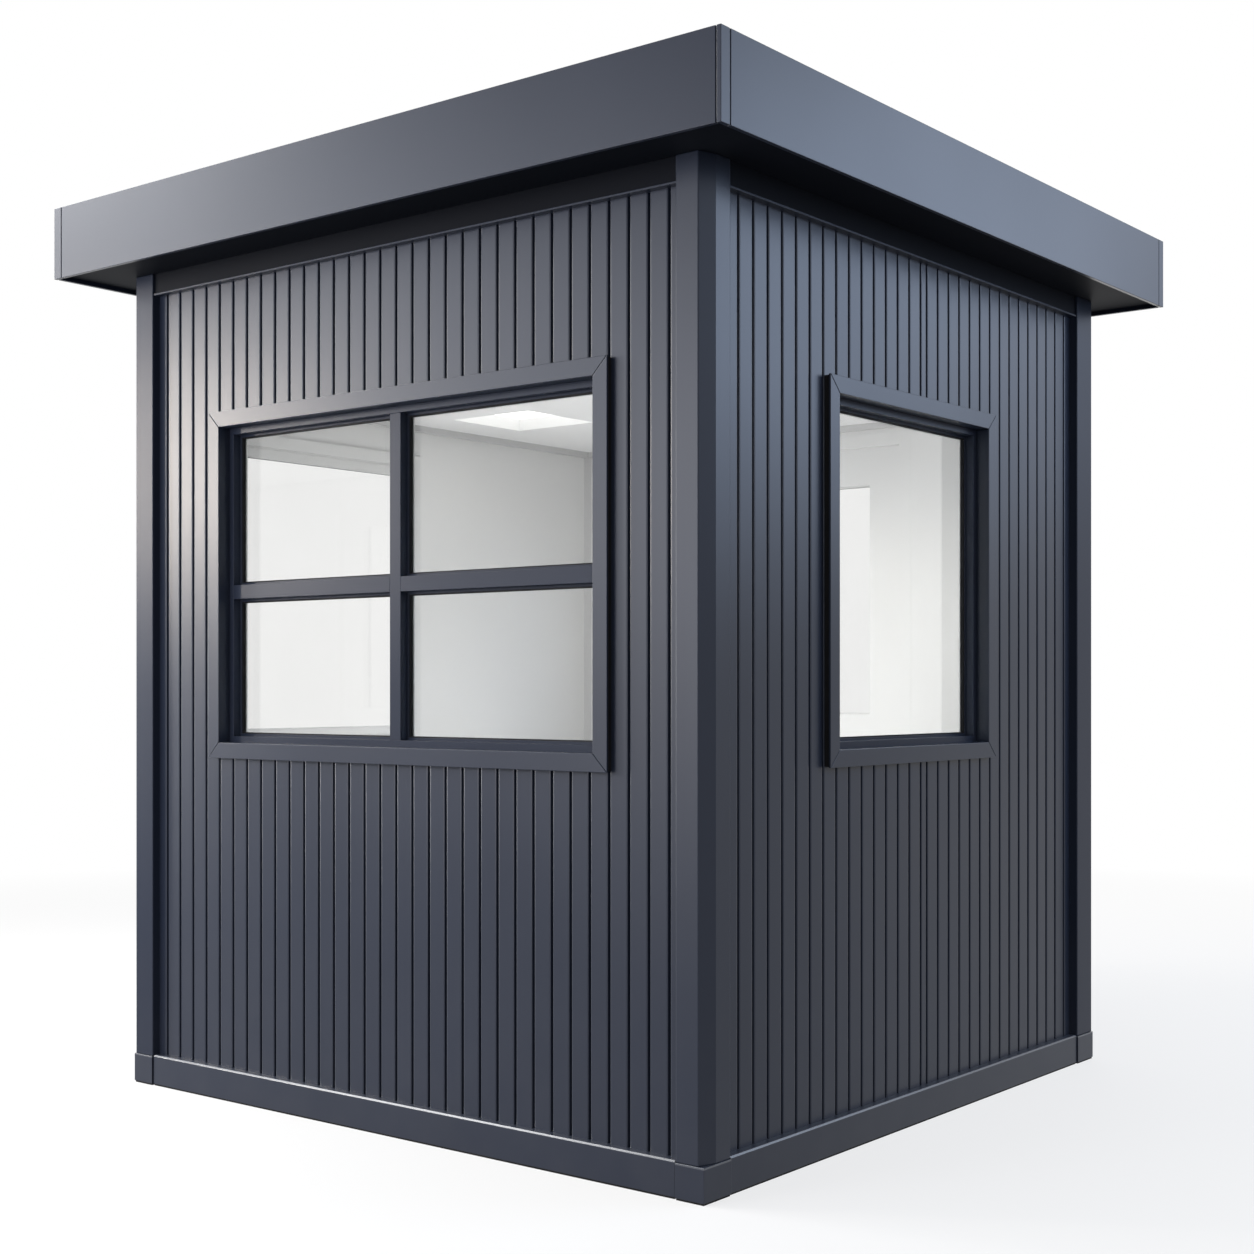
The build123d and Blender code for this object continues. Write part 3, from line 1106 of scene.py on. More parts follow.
@dataclass
class RibbedCladding:
    """The folded ribbed sheet on one wall."""

    side: Side
    groove_taper: float = 1.0 * MM
    lip_width: float = 3.5 * MM
    lip_drop: float = 0.9 * MM
    lip_radius: float = 0.6 * MM
    sheet_thickness: float = 4.0 * MM
    door_slack: float = 12.0 * MM
    match: float = 0.1 * MM

    @property
    def node(self) -> str:
        """Name of the cladding's node."""
        return f"{self.side.label}_cladding"

    def build(self, bench: Workbench) -> None:
        """Build and dress the sheet.

        Args:
            bench: Workbench that adds and dresses the pieces.
        """
        points = self.side.points(self.node)
        sheet = Block.around(points)
        face, floor = sorted({round(point.y, PLACE_DIGITS) for point in points})[:2]
        grooves = self.groove_mouths(points, floor, sheet.high.z)
        mesh = self.sliced_sheet(sheet, grooves)
        self.press_grooves(mesh, grooves, floor - face)
        self.turn_lips(mesh, grooves, sheet.low.y)
        bmesh.ops.solidify(mesh, geom=mesh.faces[:], thickness=self.sheet_thickness)
        bmesh.ops.recalc_face_normals(mesh, faces=mesh.faces[:])
        bmesh.ops.transform(mesh, matrix=self.side.turn, verts=mesh.verts[:])
        bench.add(f"{self.node}_sheet", mesh, Finish.PAINT, self.node)

    def groove_mouths(self, points: list[Vector], floor: float, head: float) -> list[Span]:
        """Left and right ends of each groove's mouth, read along the head of the sheet.

        Args:
            points: Points of the cladding in the wall's own frame.
            floor: Depth of the grooves' floors.
            head: Height of the sheet's head.

        Returns:
            One pair for each groove.
        """
        ends = set()
        for point in points:
            if abs(point.y - floor) < self.match and abs(point.z - head) < self.match:
                ends.add(round(point.x, PLACE_DIGITS))
        ordered = sorted(ends)
        floors = zip(ordered[0::2], ordered[1::2])
        return [(left - self.groove_taper, right + self.groove_taper) for left, right in floors]

    def sliced_sheet(self, sheet: Block, grooves: list[Span]) -> BMesh:
        """A flat sheet with its opening, sliced along the mouths and lips of its grooves.

        Args:
            sheet: The sheet's box in the wall's own frame.
            grooves: Ends of each groove's mouth.

        Returns:
            The sheet, a single layer of faces.
        """
        mesh = bmesh.new()
        add_upright_sheet(mesh, sheet)
        for left, right in grooves:
            for edge in (left - self.lip_width, left, right, right + self.lip_width):
                slice_mesh(mesh, X_AXIS, edge)
        hole = self.hole(sheet)
        for corner in (hole.low, hole.high):
            slice_mesh(mesh, X_AXIS, corner.x)
            slice_mesh(mesh, Z_AXIS, corner.z)
        bmesh.ops.delete(mesh, geom=self.faces_in(mesh, hole), context="FACES")
        return mesh

    def press_grooves(self, mesh: BMesh, grooves: list[Span], depth: float) -> None:
        """Press the tapered grooves into a sliced sheet.

        Args:
            mesh: The sheet.
            grooves: Ends of each groove's mouth.
            depth: Depth of the grooves.
        """
        channels = [face for face in mesh.faces if self.in_groove(face, grooves)]
        bmesh.ops.inset_region(
            mesh,
            faces=channels,
            use_boundary=False,
            use_even_offset=True,
            thickness=self.groove_taper,
            depth=-depth,
        )

    def turn_lips(self, mesh: BMesh, grooves: list[Span], front: float) -> None:
        """Turn the edges of the grooves over into narrow lips.

        Args:
            mesh: The sheet with its grooves.
            grooves: Ends of each groove's mouth.
            front: Depth of the sheet's outer face.
        """
        mouths = [end for groove in grooves for end in groove]
        lips = [vertex for vertex in mesh.verts if self.at_mouth(vertex, front, mouths)]
        bmesh.ops.translate(mesh, vec=Y_AXIS * self.lip_drop, verts=lips)
        bmesh.ops.dissolve_limit(
            mesh, angle_limit=FLAT_ANGLE, verts=mesh.verts[:], edges=mesh.edges[:]
        )
        lip_depth = front + self.lip_drop
        turns = [edge for edge in sharp_edges(mesh) if self.at_depth(edge, lip_depth)]
        round_edges(mesh, turns, self.lip_radius, segments=1)

    def hole(self, sheet: Block) -> Block:
        """The opening that the sheet leaves, a little wide of a door so as to clear a groove.

        Args:
            sheet: The sheet's box in the wall's own frame.

        Returns:
            The opening's box.
        """
        if self.side is Side.BACK:
            opening = self.side.block("door_frame").shrunk(x=-self.door_slack)
        else:
            opening = self.side.block(f"{self.side.label}_window_frame")
        return opening.between_y(sheet.low.y, sheet.high.y)

    def faces_in(self, mesh: BMesh, hole: Block) -> list[BMFace]:
        """Faces whose middles lie in the opening.

        Args:
            mesh: The mesh to look through.
            hole: The opening's box.

        Returns:
            The faces.
        """
        inside = []
        for face in mesh.faces:
            middle = face.calc_center_median()
            if hole.low.x < middle.x < hole.high.x and hole.low.z < middle.z < hole.high.z:
                inside.append(face)
        return inside

    def in_groove(self, face: BMFace, grooves: list[Span]) -> bool:
        """Whether a face lies between the mouths of a groove."""
        middle = face.calc_center_median().x
        return any(left < middle < right for left, right in grooves)

    def at_mouth(self, vertex: BMVert, front: float, mouths: list[float]) -> bool:
        """Whether a point of the outer face lies on the mouth of a groove."""
        on_face = abs(vertex.co.y - front) < self.match
        return on_face and any(abs(vertex.co.x - end) < self.match for end in mouths)

    def at_depth(self, edge: BMEdge, depth: float) -> bool:
        """Whether an edge lies at one depth of the sheet."""
        return all(abs(vertex.co.y - depth) < self.match for vertex in edge.verts)


@dataclass
class HeadRails:
    """The rails under the soffit, with a lip along their feet; above the lip the rails take near-black
    paint, painted shade under the eaves.
    """

    edge_radius: float = 0.8 * MM
    lip_height: float = 5.0 * MM

    def build(self, bench: Workbench) -> None:
        """Build and dress the rails.

        Args:
            bench: Workbench that adds and dresses the pieces.
        """
        foot = Side.FRONT.block("head_rails").low.z
        lip_top = Z_AXIS * (foot + self.lip_height)
        bench.soften_halves(
            "head_rails", self.edge_radius, lip_top, -Z_AXIS, outer=Finish.PAINT, inner=Finish.SOFFIT
        )


@dataclass
class PaneSeals:
    """A black seal outside each pane of a glass node and a pale bead inside it."""

    side: Side
    cover: float
    width: float = 4.0 * MM
    proud: float = 9.0 * MM

    def build(self, bench: Workbench, name: str) -> None:
        """Build the rings round the panes of NAME_glass.

        Args:
            bench: Workbench that adds and dresses the pieces.
            name: Name of the window or door.
        """
        seals, beads = bmesh.new(), bmesh.new()
        for pane in self.side.loose_blocks(f"{name}_glass"):
            border = pane.shrunk(x=self.cover, z=self.cover)
            add_frame_ring(seals, border.between_y(pane.low.y - self.proud, pane.low.y), self.width)
            add_frame_ring(beads, border.between_y(pane.high.y, pane.high.y + self.width), self.width)
        for rings, label, finish in ((seals, "seals", Finish.RUBBER), (beads, "beads", Finish.LINING)):
            bmesh.ops.transform(rings, matrix=self.side.turn, verts=rings.verts[:])
            bench.add(f"{name}_{label}", rings, finish)


@dataclass
class WindowUnit:
    """Casing, frame, seals and glass of one window."""

    side: Side
    plate_thickness: float = 6.0 * MM
    return_thickness: float = 3.0 * MM
    mitre_gap: float = 0.5 * MM
    casing_radius: float = 1.5 * MM
    packer_inset: float = 3.0 * MM
    frame_radius: float = 0.8 * MM
    seal_cover: float = 5.5 * MM
    architrave_width: float = 40.0 * MM
    architrave_proud: float = 8.0 * MM
    architrave_gap: float = 3.0 * MM

    def build(self, bench: Workbench) -> None:
        """Build and dress the window.

        Args:
            bench: Workbench that adds and dresses the pieces.
        """
        name = f"{self.side.label}_window"
        case = self.side.block(f"{name}_casing")
        window_frame = self.side.block(f"{name}_frame")
        self.build_casing(bench, f"{name}_casing", case, window_frame)
        parting = self.side.turn @ self.side.block(f"{name}_glass").middle
        outward = self.side.turn @ -Y_AXIS
        for part in ("frame", "mullion", "transoms") if self.side is Side.FRONT else ("frame",):
            bench.soften_halves(f"{name}_{part}", self.frame_radius, parting, outward)
        bench.dress(f"{name}_glass", Finish.GLASS)
        PaneSeals(self.side, self.seal_cover).build(bench, name)
        self.build_architrave(bench, name, window_frame)

    def build_casing(self, bench: Workbench, node: str, case: Block, window_frame: Block) -> None:
        """Four mitred casing boards with returns to the frame, on a black rubber packer that also stands in
        for the shade along the casing's sides.

        Args:
            bench: Workbench that takes the pieces.
            node: Casing node that the boards stand for.
            case: Box of the casing, in the wall's frame.
            window_frame: Box of the window frame, in the wall's frame.
        """
        width = window_frame.low.x - case.low.x + self.return_thickness
        boards = bmesh.new()
        for quarter in range(4):
            upright = quarter % 2 == 1
            length = case.size.z if upright else case.size.x
            reach = case.size.x / 2 if upright else case.size.z / 2
            board = self.casing_board(length, reach, width, window_frame.low.y - case.low.y)
            turn = Matrix.Rotation(math.radians(90 * quarter), 4, "Y")
            front = Vector((case.middle.x, case.low.y, case.middle.z))
            place = self.side.turn @ Matrix.Translation(front) @ turn
            bmesh.ops.transform(board, matrix=place, verts=board.verts[:])
            join(boards, board)
        bench.add(f"{node}_boards", boards, Finish.PAINT, node, "window_reveals")

        # A black rubber packer behind the plate: a packer, and also painted shade that darkens the casing's
        # sides.
        shade_packer = bmesh.new()
        body = case.shrunk(x=self.packer_inset, z=self.packer_inset)
        body = body.between_y(case.low.y + self.plate_thickness, case.high.y)
        add_frame_ring(shade_packer, body, width - self.packer_inset - self.return_thickness)
        bmesh.ops.transform(shade_packer, matrix=self.side.turn, verts=shade_packer.verts[:])
        bench.add(f"{node}_packer", shade_packer, Finish.RUBBER)

    def casing_board(self, length: float, reach: float, width: float, depth: float) -> BMesh:
        """One board of the casing, mitred at both ends.

        Args:
            length: Length along its outer edge.
            reach: Distance from the middle of the window to its outer edge.
            width: Face width.
            depth: Depth of its return into the opening.

        Returns:
            The board, below the origin, with its face at y = 0.
        """
        board = bmesh.new()
        low = Vector((-length / 2, 0, -reach))
        high = Vector((length / 2, self.plate_thickness, width - reach))
        add_block(board, Block(low, high))
        slice_mesh(board, Z_AXIS, high.z - self.return_thickness)
        back = max(board.faces, key=lambda face: (face.normal.y, face.calc_center_median().z))
        made = bmesh.ops.extrude_discrete_faces(board, faces=[back])
        bmesh.ops.translate(
            board, vec=Y_AXIS * (depth - self.plate_thickness), verts=made["faces"][0].verts[:]
        )
        for vertex in board.verts:
            shortening = vertex.co.z - low.z + self.mitre_gap
            vertex.co.x -= math.copysign(shortening, vertex.co.x)
        bmesh.ops.recalc_face_normals(board, faces=board.faces[:])
        round_edges(board, sharp_edges(board), self.casing_radius)
        return board

    def build_architrave(self, bench: Workbench, name: str, window_frame: Block) -> None:
        """A pale architrave round the opening in the room.

        Args:
            bench: Workbench that adds and dresses the pieces.
            name: Name of the window.
            window_frame: Box of the window's frame in the wall's own frame.
        """
        room_face = self.side.block(f"{self.side.label}_wall").high.y
        reach = self.architrave_gap + self.architrave_width
        body = window_frame.shrunk(x=-reach, z=-reach)
        ring = bmesh.new()
        add_frame_ring(
            ring, body.between_y(room_face, room_face + self.architrave_proud), self.architrave_width
        )
        round_edges(ring, sharp_edges(ring), self.casing_radius)
        bmesh.ops.transform(ring, matrix=self.side.turn, verts=ring.verts[:])
        bench.add(f"{name}_architrave", ring, Finish.LINING)


@dataclass
class BackDoor:
    """The closed door in the back wall, with its lock, screws, moulding and threshold."""

    edge_radius: float = 1.2 * MM
    fitting_radius: float = 1.5 * MM
    seal_cover: float = 8.5 * MM
    panel_margin: float = 125.0 * MM
    moulding_width: float = 14.0 * MM
    moulding_proud: float = 5.0 * MM
    plate_thickness: float = 8.0 * MM
    flap_thickness: float = 4.0 * MM
    lock_drop: float = 60.0 * MM
    lock_radius: float = 9.0 * MM
    lock_proud: float = 5.0 * MM
    screw_radius: float = 4.0 * MM
    screw_proud: float = 1.0 * MM
    screw_edge: float = 12.0 * MM
    stud_segments: int = 24
    stud_foot_share: float = 0.85
    threshold_height: float = 4.0 * MM
    return_gap: float = 0.5 * MM

    def build(self, bench: Workbench) -> None:
        """Build and dress the door.

        Args:
            bench: Workbench that adds and dresses the pieces.
        """
        side = Side.BACK
        leaf = side.block("door_leaf")
        parting = side.turn @ side.block("door_glass").middle
        outward = side.turn @ -Y_AXIS
        for node in ("door_frame", "door_leaf"):
            bench.soften_halves(node, self.edge_radius, parting, outward)
        bench.soften("door_casing", Finish.PAINT, self.edge_radius)
        for node in ("door_handle", "door_hinges"):
            bench.soften(node, Finish.STEEL, self.fitting_radius, smooth=True)
        bench.dress("door_glass", Finish.GLASS)
        PaneSeals(side, self.seal_cover).build(bench, "door")
        self.build_returns(bench)
        self.build_moulding(bench, leaf)
        self.build_fixings(bench, leaf)
        self.build_threshold(bench, leaf)

    def build_returns(self, bench: Workbench) -> None:
        """Strips behind the casing that close the joints beside the frame.

        Args:
            bench: Workbench that adds and dresses the pieces.
        """
        casing_back = Side.BACK.block("door_casing").high.y
        jamb = Side.BACK.block("door_frame")
        depth = jamb.low.y + 2 * self.edge_radius
        width = RibbedCladding.door_slack - self.return_gap
        returns = bmesh.new()
        for start in (jamb.low.x - width, jamb.high.x):
            low = Vector((start, casing_back, jamb.low.z))
            high = Vector((start + width, depth, jamb.high.z))
            add_block(returns, Block(low, high))
        bmesh.ops.transform(returns, matrix=Side.BACK.turn, verts=returns.verts[:])
        bench.add("door_casing_returns", returns, Finish.PAINT)

    def build_moulding(self, bench: Workbench, leaf: Block) -> None:
        """A plain moulding on the outside of the leaf under its light.

        Args:
            bench: Workbench that adds and dresses the pieces.
            leaf: Box of the door's leaf in the wall's own frame.
        """
        light = Side.BACK.block("door_glass")
        low = Vector((leaf.low.x, leaf.low.y - self.moulding_proud, leaf.low.z))
        high = Vector((leaf.high.x, leaf.low.y, light.low.z))
        panel = Block(low, high).shrunk(x=self.panel_margin, z=self.panel_margin)
        ring = bmesh.new()
        add_frame_ring(ring, panel, self.moulding_width)
        round_edges(ring, sharp_edges(ring), self.edge_radius)
        bmesh.ops.transform(ring, matrix=Side.BACK.turn, verts=ring.verts[:])
        # The moulding takes the frame paint with a dimmed sheen, painted shade.
        bench.add("door_moulding", ring, Finish.FRAME)

    def build_fixings(self, bench: Workbench, leaf: Block) -> None:
        """The lock cylinder, and the screws of the handle plate and the hinges.

        Args:
            bench: Workbench that adds and dresses the pieces.
            leaf: Box of the door's leaf in the wall's own frame.
        """
        fixings = bmesh.new()
        handle = min(Side.BACK.loose_blocks("door_handle"), key=lambda block: block.low.y)
        plate_face = leaf.low.y - self.plate_thickness
        middle = handle.high.x - self.plate_half_width(handle)
        lock = Vector((middle, plate_face, handle.middle.z - self.lock_drop))
        self.add_stud(fixings, lock, self.lock_radius, self.lock_proud)
        seats = []
        for end in (handle.low.z + self.screw_edge, handle.high.z - self.screw_edge):
            seats.append(Vector((middle, plate_face, end)))
        flap_face = leaf.low.y - self.flap_thickness
        for hinge in Side.BACK.loose_blocks("door_hinges"):
            spots = hinge.shrunk(x=self.screw_edge, z=self.screw_edge)
            for x in (spots.low.x, spots.high.x):
                for z in (spots.low.z, hinge.middle.z, spots.high.z):
                    seats.append(Vector((x, flap_face, z)))
        for seat in seats:
            self.add_stud(fixings, seat, self.screw_radius, self.screw_proud)
        bmesh.ops.transform(fixings, matrix=Side.BACK.turn, verts=fixings.verts[:])
        bench.add("door_fixings", fixings, Finish.STEEL, smooth=True)

    def plate_half_width(self, handle: Block) -> float:
        """Half the width of the handle's back plate, read along its upper end.

        Args:
            handle: Box of the handle in the wall's own frame.

        Returns:
            Half the width.
        """
        end = handle.high.z - self.screw_edge
        points = [point for point in Side.BACK.points("door_handle") if point.z > end]
        return Block.around(points).size.x / 2

    def add_stud(self, mesh: BMesh, seat: Vector, radius: float, proud: float) -> None:
        """Add a low round head that stands outward from its seat.

        Args:
            mesh: Mesh that receives the head.
            seat: Middle of the head's foot, on the face that carries it.
            radius: Radius of the head.
            proud: Height of the head.
        """
        bmesh.ops.create_cone(
            mesh,
            cap_ends=True,
            segments=self.stud_segments,
            radius1=radius * self.stud_foot_share,
            radius2=radius,
            depth=proud,
            matrix=Matrix.Translation(seat - Y_AXIS * proud / 2) @ STAND_UP,
        )

    def build_threshold(self, bench: Workbench, leaf: Block) -> None:
        """A steel strip under the leaf.

        Args:
            bench: Workbench that adds and dresses the pieces.
            leaf: Box of the door's leaf in the wall's own frame.
        """
        foot = Side.BACK.block("door_frame").low.z
        low = Vector((leaf.low.x, leaf.low.y, foot))
        high = Vector((leaf.high.x, leaf.high.y, foot + self.threshold_height))
        strip = bmesh.new()
        add_block(strip, Block(low, high))
        round_edges(strip, sharp_edges(strip), self.edge_radius)
        bmesh.ops.transform(strip, matrix=Side.BACK.turn, verts=strip.verts[:])
        bench.add("door_threshold", strip, Finish.STEEL)


@dataclass
class FlatRoof:
    """Fascia, soffit and the roof behind the fascia."""

    edge_radius: float = 1.2 * MM
    seam: float = 3.0 * MM
    seam_fill_depth: float = 7.0 * MM
    sheet_count: int = 3
    sheet_thickness: float = 2.5 * MM
    sheet_lap: float = 80.0 * MM
    kerb_size: float = 30.0 * MM
    kerb_slope: float = 24.0 * MM

    def build(self, bench: Workbench) -> None:
        """Build and dress the roof.

        Args:
            bench: Workbench that adds and dresses the pieces.
        """
        seam_strips = bmesh.new()
        for side in Side:
            node = f"fascia_{side.label}"
            self.fill_seams(seam_strips, side, side.block(node))
            bench.soften(node, Finish.PAINT, self.edge_radius)
        bench.add("fascia_seam_strips", seam_strips, Finish.RUBBER)
        bench.soften("fascia_corner_covers", Finish.PAINT, self.edge_radius)
        # The soffit takes the near-black paint, painted shade under the eaves.
        bench.dress("soffit", Finish.SOFFIT)
        bench.dress("roof_deck", Finish.ROOF)
        self.build_membrane(bench, Side.FRONT.block("roof_deck"))

    def build_membrane(self, bench: Workbench, deck: Block) -> None:
        """Lapped sheets on the deck, and a sloped kerb round them.

        Args:
            bench: Workbench that adds and dresses the pieces.
            deck: Box of the roof deck.
        """
        sheets, kerb = bmesh.new(), bmesh.new()
        width = (deck.size.y + self.sheet_lap * (self.sheet_count - 1)) / self.sheet_count
        for count in range(self.sheet_count):
            front = deck.low.y + count * (width - self.sheet_lap)
            level = deck.high.z + self.sheet_thickness * (count % 2)
            low = Vector((deck.low.x, front, level))
            high = Vector((deck.high.x, front + width, level + self.sheet_thickness))
            add_block(sheets, Block(low, high))
        round_edges(sheets, sharp_edges(sheets), self.edge_radius)
        bench.add("roof_sheets", sheets, Finish.ROOF)
        for side in Side:
            low = Vector((deck.low.x, deck.low.y, deck.high.z))
            high = Vector((deck.high.x, deck.low.y + self.kerb_size, deck.high.z + self.kerb_size))
            strip = bmesh.new()
            add_block(strip, Block(low, high))
            inner = [edge for edge in strip.edges if self.is_inner_top(edge, high)]
            round_edges(strip, inner, self.kerb_slope, segments=1)
            bmesh.ops.transform(strip, matrix=side.turn, verts=strip.verts[:])
            join(kerb, strip)
        bench.add("roof_kerb", kerb, Finish.ROOF)

    def is_inner_top(self, edge: BMEdge, corner: Vector) -> bool:
        """Whether an edge runs along the top of a kerb on its roof side."""
        return all((vertex.co.yz - corner.yz).length < MERGE_DISTANCE for vertex in edge.verts)

    def fill_seams(self, strips: BMesh, side: Side, board: Block) -> None:
        """Close the seams at both ends of a fascia board with dark strips.

        Args:
            strips: The mesh that gets the strips.
            side: The side that the board is on.
            board: The board's box in the wall's own frame.
        """
        for start in (board.low.x - self.seam, board.high.x):
            low = Vector((start, board.high.y - self.seam_fill_depth, board.low.z))
            high = Vector((start + self.seam, board.high.y, board.high.z))
            added = add_block(strips, Block(low, high).shrunk(z=self.edge_radius))
            bmesh.ops.transform(strips, matrix=side.turn, verts=added)


@dataclass
class GuardRoom:
    """The lined room inside the walls."""

    trims: tuple[str, ...] = ("ceiling_trim", "room_corner_trims")

    def build(self, bench: Workbench) -> None:
        """Dress the room's faces.

        Args:
            bench: Workbench that adds and dresses the pieces.
        """
        for side in Side:
            bench.dress(f"{side.label}_wall", Finish.LINING)
        bench.dress("ceiling", Finish.CEILING)
        for trim in self.trims:
            bench.dress(trim, Finish.TRIM)
        bench.dress("ceiling_light", Finish.DIFFUSER)


# Studio

HUMP_PEAK = 0.25


@dataclass(frozen=True)
class SoftBox:
    """A rectangular lamp that looks at a point."""

    name: str
    place: tuple[float, float, float]
    aim: tuple[float, float, float]
    width: float
    height: float
    radiance: float
    color: Color = (1.0, 1.0, 1.0)
    in_reflections: bool = True

    def build(self, left_out: bpy.types.Collection) -> None:
        """Add the lamp to the scene, without its image on some pieces.

        Args:
            left_out: The pieces that the lamp leaves out.
        """
        data = bpy.data.lights.new(self.name, "AREA")
        data.shape = "RECTANGLE"
        data.size = self.width
        data.size_y = self.height
        data.color = self.color
        data.energy = self.radiance * math.pi * self.width * self.height
        self.fade(data)
        lamp = bpy.data.objects.new(self.name, data)
        lamp.location = self.place
        toward = Vector(self.aim) - Vector(self.place)
        lamp.rotation_euler = toward.to_track_quat("-Z", "Y").to_euler()
        lamp.visible_camera = False
        lamp.visible_transmission = False
        lamp.visible_glossy = self.in_reflections
        lamp.light_linking.receiver_collection = left_out
        bpy.context.scene.collection.objects.link(lamp)

    def fade(self, data: bpy.types.AreaLight) -> None:
        """Fade the lamp from its middle to its edges.

        Args:
            data: The lamp's data.
        """
        data.use_nodes = True
        bench = NodeBench(data.node_tree)
        spot = bench.add("ShaderNodeNewGeometry").outputs["Parametric"]
        parts = bench.add("ShaderNodeSeparateXYZ", {0: spot}).outputs
        fades = []
        for axis in ("X", "Y"):
            hump = bench.math("MULTIPLY", parts[axis], bench.math("SUBTRACT", 1.0, parts[axis]))
            fades.append(bench.math("DIVIDE", hump, HUMP_PEAK))
        bench.feed(data.node_tree.nodes["Emission"].inputs["Strength"], bench.math("MULTIPLY", *fades))


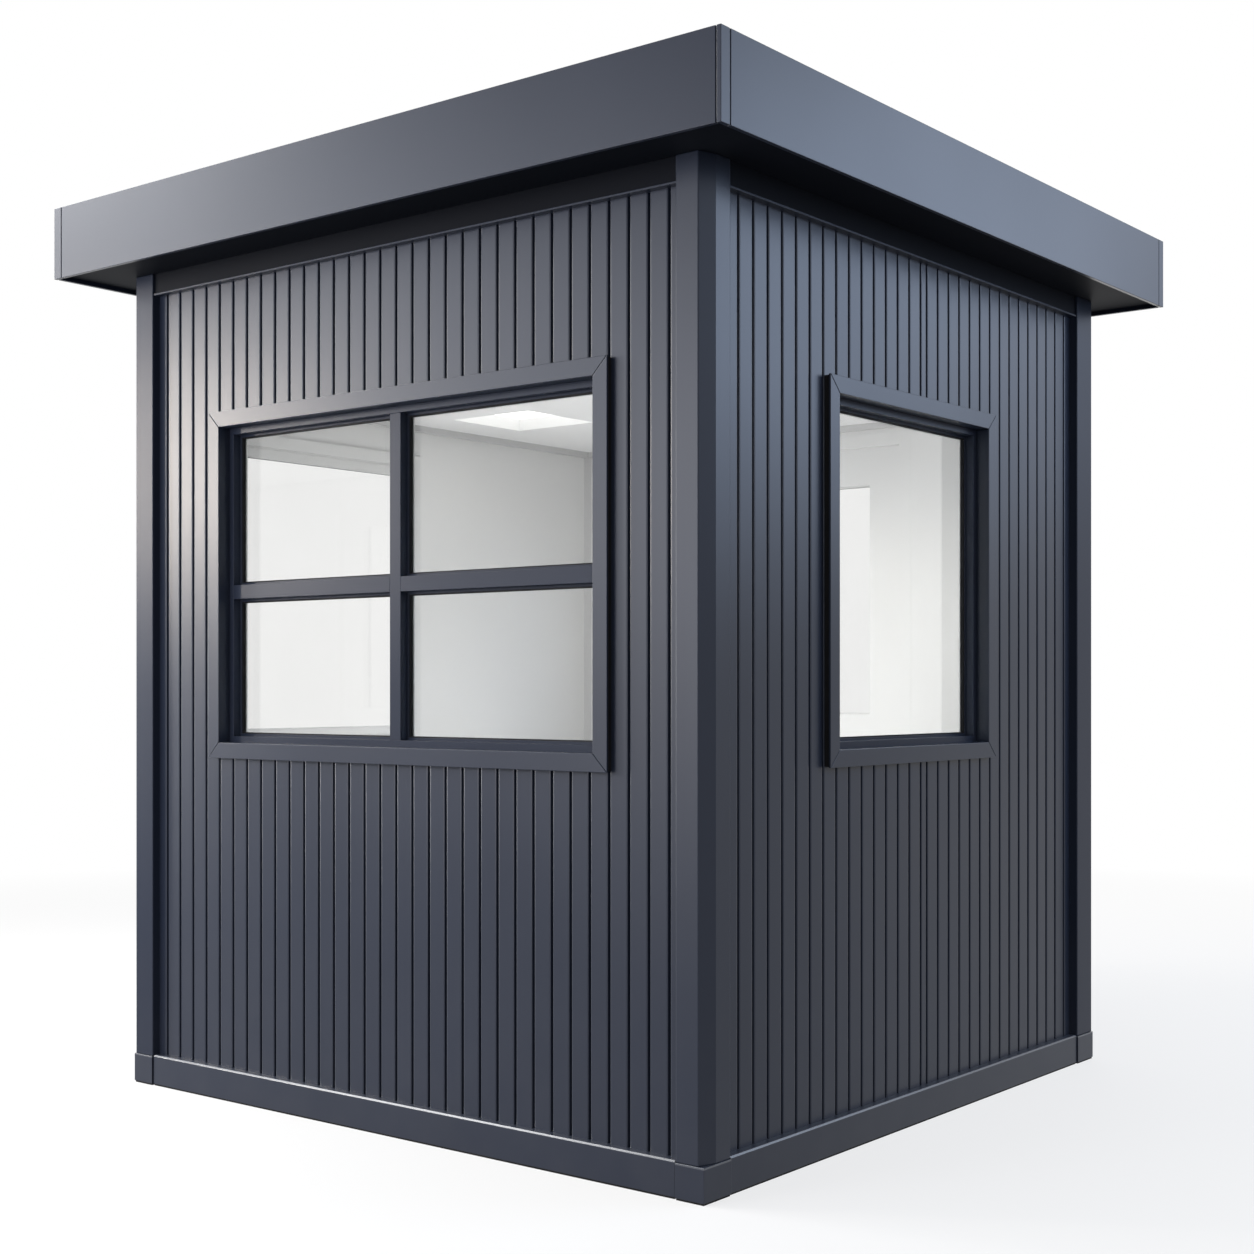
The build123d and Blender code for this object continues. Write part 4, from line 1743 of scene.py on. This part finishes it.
@dataclass(frozen=True)
class Studio:
    """Pale floor, white surround, lamps and the camera of the photograph."""

    floor_size: float = 80.0
    floor_albedo: float = 0.2
    floor_glow: float = 0.72
    shadow_reach: float = 7.0
    shadow_core_share: float = 0.6
    ambient: float = 0.4
    camera_place: tuple[float, float, float] = (3.470, -4.383, 1.179)
    camera_azimuth: float = 38.41
    lens: float = 52.08
    sensor: float = 36.0
    shift_up: float = 0.0478

    def build(self, glass: bpy.types.Material) -> None:
        """Set up the whole studio.

        Args:
            glass: The material of the panes.
        """
        self.build_floor()
        self.build_world()
        self.build_lamps(self.gather_panes(glass))
        self.build_camera()
        bpy.context.scene.view_settings.view_transform = "Standard"

    def background_rays(self, bench: NodeBench) -> bpy.types.NodeSocket:
        """One on the rays that show the background: from the camera, mirrored or through glass.

        Args:
            bench: The node tree that needs the rays.

        Returns:
            A value of one or zero.
        """
        path = bench.add("ShaderNodeLightPath").outputs
        seen = bench.math("MAXIMUM", path["Is Camera Ray"], path["Is Glossy Ray"])
        return bench.math("MAXIMUM", seen, path["Is Transmission Ray"])

    def build_floor(self) -> None:
        """A pale floor that keeps the shadow near the booth and fades to white."""
        mesh = bmesh.new()
        bmesh.ops.create_grid(mesh, x_segments=1, y_segments=1, size=self.floor_size / 2)
        data = bpy.data.meshes.new("studio_floor")
        mesh.to_mesh(data)
        mesh.free()
        floor = bpy.data.objects.new("studio_floor", data)
        bpy.context.scene.collection.objects.link(floor)

        bench = MaterialBench("studio_floor")
        reach = (1 / self.shadow_reach,) * 3
        near = bench.add(
            "ShaderNodeTexGradient", {"Vector": bench.stretched(reach)}, gradient_type="SPHERICAL"
        ).outputs["Fac"]
        inputs = {"Value": near, "From Max": self.shadow_core_share}
        share = bench.add("ShaderNodeMapRange", inputs).outputs["Result"]
        lit = bench.add("ShaderNodeBsdfDiffuse", {"Color": solid((self.floor_albedo,) * 3)})
        glow = bench.add("ShaderNodeEmission", {
            "Strength": bench.math("MULTIPLY", self.background_rays(bench), self.floor_glow),
        })
        white = bench.add("ShaderNodeEmission", {"Strength": self.background_rays(bench)})
        both = bench.add("ShaderNodeAddShader", {0: lit.outputs["BSDF"], 1: glow.outputs["Emission"]})
        inputs = {0: share, 1: white.outputs["Emission"], 2: both.outputs["Shader"]}
        mixed = bench.add("ShaderNodeMixShader", inputs)
        bench.feed(bench.output.inputs["Surface"], mixed.outputs["Shader"])
        data.materials.append(bench.material)

    def build_world(self) -> None:
        """A white surround that lights the booth at a plain level."""
        world = bpy.data.worlds.new("studio")
        bpy.context.scene.world = world
        world.use_nodes = True
        bench = NodeBench(world.node_tree)
        world.node_tree.nodes.clear()
        dim = bench.add("ShaderNodeBackground", {"Strength": self.ambient})
        white = bench.add("ShaderNodeBackground", {"Strength": 1.0})
        for background in (dim, white):
            background.inputs["Color"].default_value = solid((1.0, 1.0, 1.0))
        inputs = {
            0: self.background_rays(bench),
            1: dim.outputs["Background"],
            2: white.outputs["Background"],
        }
        mixed = bench.add("ShaderNodeMixShader", inputs)
        bench.add("ShaderNodeOutputWorld", {"Surface": mixed.outputs["Shader"]})

    def build_lamps(self, panes: bpy.types.Collection) -> None:
        """Add soft boxes round the booth and a soft fill in the room.

        Args:
            panes: The pieces that the lamps leave out.
        """
        lamps = (
            SoftBox("left_key", (-4.80, -4.2, 2.38), (-0.9, -1.0, 1.7), 0.3, 1.3, 270.0, (1.0, 0.90, 0.79)),
            SoftBox("front_broad", (-3.4, -4.6, 2.7), (0.0, -1.0, 1.9), 5.0, 3.4, 4.6, (0.93, 0.97, 1.06)),
            SoftBox("front_near", (-1.0, -5.15, 1.7), (0.6, -1.0, 1.5), 2.2, 3.6, 9.6, (1.0, 0.98, 1.0)),
            SoftBox("right_sky", (4.05, 2.65, 3.2), (1.0, 0.0, 1.9), 5.2, 3.2, 4.9, (0.68, 0.86, 1.18)),
            SoftBox("ledge_left", (-3.5, -1.9, 4.0), (0.0, -1.0, 0.5), 3.6, 2.6, 14.0),
            SoftBox("rim_left", (-4.4, -2.3, 1.6), (0.8, -1.0, 1.4), 0.6, 3.0, 34.0),
            SoftBox("rim_near", (4.6, -4.4, 2.2), (0.9, -0.9, 1.4), 1.0, 2.4, 14.0),
            SoftBox("top_soft", (0.0, 0.0, 6.5), (0.0, 0.0, 0.0), 6.0, 6.0, 2.0, in_reflections=False),
            SoftBox("room_fill", (0.0, 0.0, 2.0), (0.0, 0.0, 0.0), 1.3, 1.3, 0.4, in_reflections=False),
            SoftBox("room_bounce", (0.0, 0.0, 0.55), (0.0, 0.0, 2.0), 1.0, 1.0, 8.5, in_reflections=False),
            SoftBox("room_left", (-0.85, -0.4, 1.45), (1.0, 0.1, 1.1), 0.8, 0.9, 2.5, in_reflections=False),
            SoftBox("back_soft", (-1.6, 5.4, 2.9), (0.0, 1.0, 1.3), 3.6, 3.0, 4.0),
        )
        for lamp in lamps:
            lamp.build(panes)
            log.info("lamp %s", lamp.name)

    def gather_panes(self, glass: bpy.types.Material) -> bpy.types.Collection:
        """Gather the panes, so that the lamps leave no image in them.

        Args:
            glass: The material of the panes.

        Returns:
            A collection whose pieces a lamp leaves out.
        """
        panes = bpy.data.collections.new("panes")
        for piece in bpy.context.scene.objects:
            if piece.type == "MESH" and glass in piece.data.materials.values():
                panes.objects.link(piece)
        for member in panes.collection_objects:
            member.light_linking.link_state = "EXCLUDE"
        return panes

    def build_camera(self) -> None:
        """The photograph's level view of the front and right walls."""
        data = bpy.data.cameras.new("photo_camera")
        data.lens = self.lens
        data.sensor_width = self.sensor
        data.shift_y = self.shift_up
        camera = bpy.data.objects.new("photo_camera", data)
        camera.location = self.camera_place
        camera.rotation_euler = (math.radians(90), 0.0, math.radians(self.camera_azimuth))
        bpy.context.scene.collection.objects.link(camera)
        bpy.context.scene.camera = camera


def main() -> None:
    """Build the booth's sub-assemblies in order, then the studio round them."""
    logging.basicConfig(level=logging.INFO, format="%(message)s")
    bench = Workbench()
    BaseFrame().build(bench)
    CornerPosts().build(bench)
    for side in Side:
        RibbedCladding(side).build(bench)
    HeadRails().build(bench)
    for side in (Side.FRONT, Side.RIGHT, Side.LEFT):
        WindowUnit(side).build(bench)
    BackDoor().build(bench)
    FlatRoof().build(bench)
    GuardRoom().build(bench)
    Studio().build(bench.materials[Finish.GLASS])


if __name__ == "__main__":
    main()
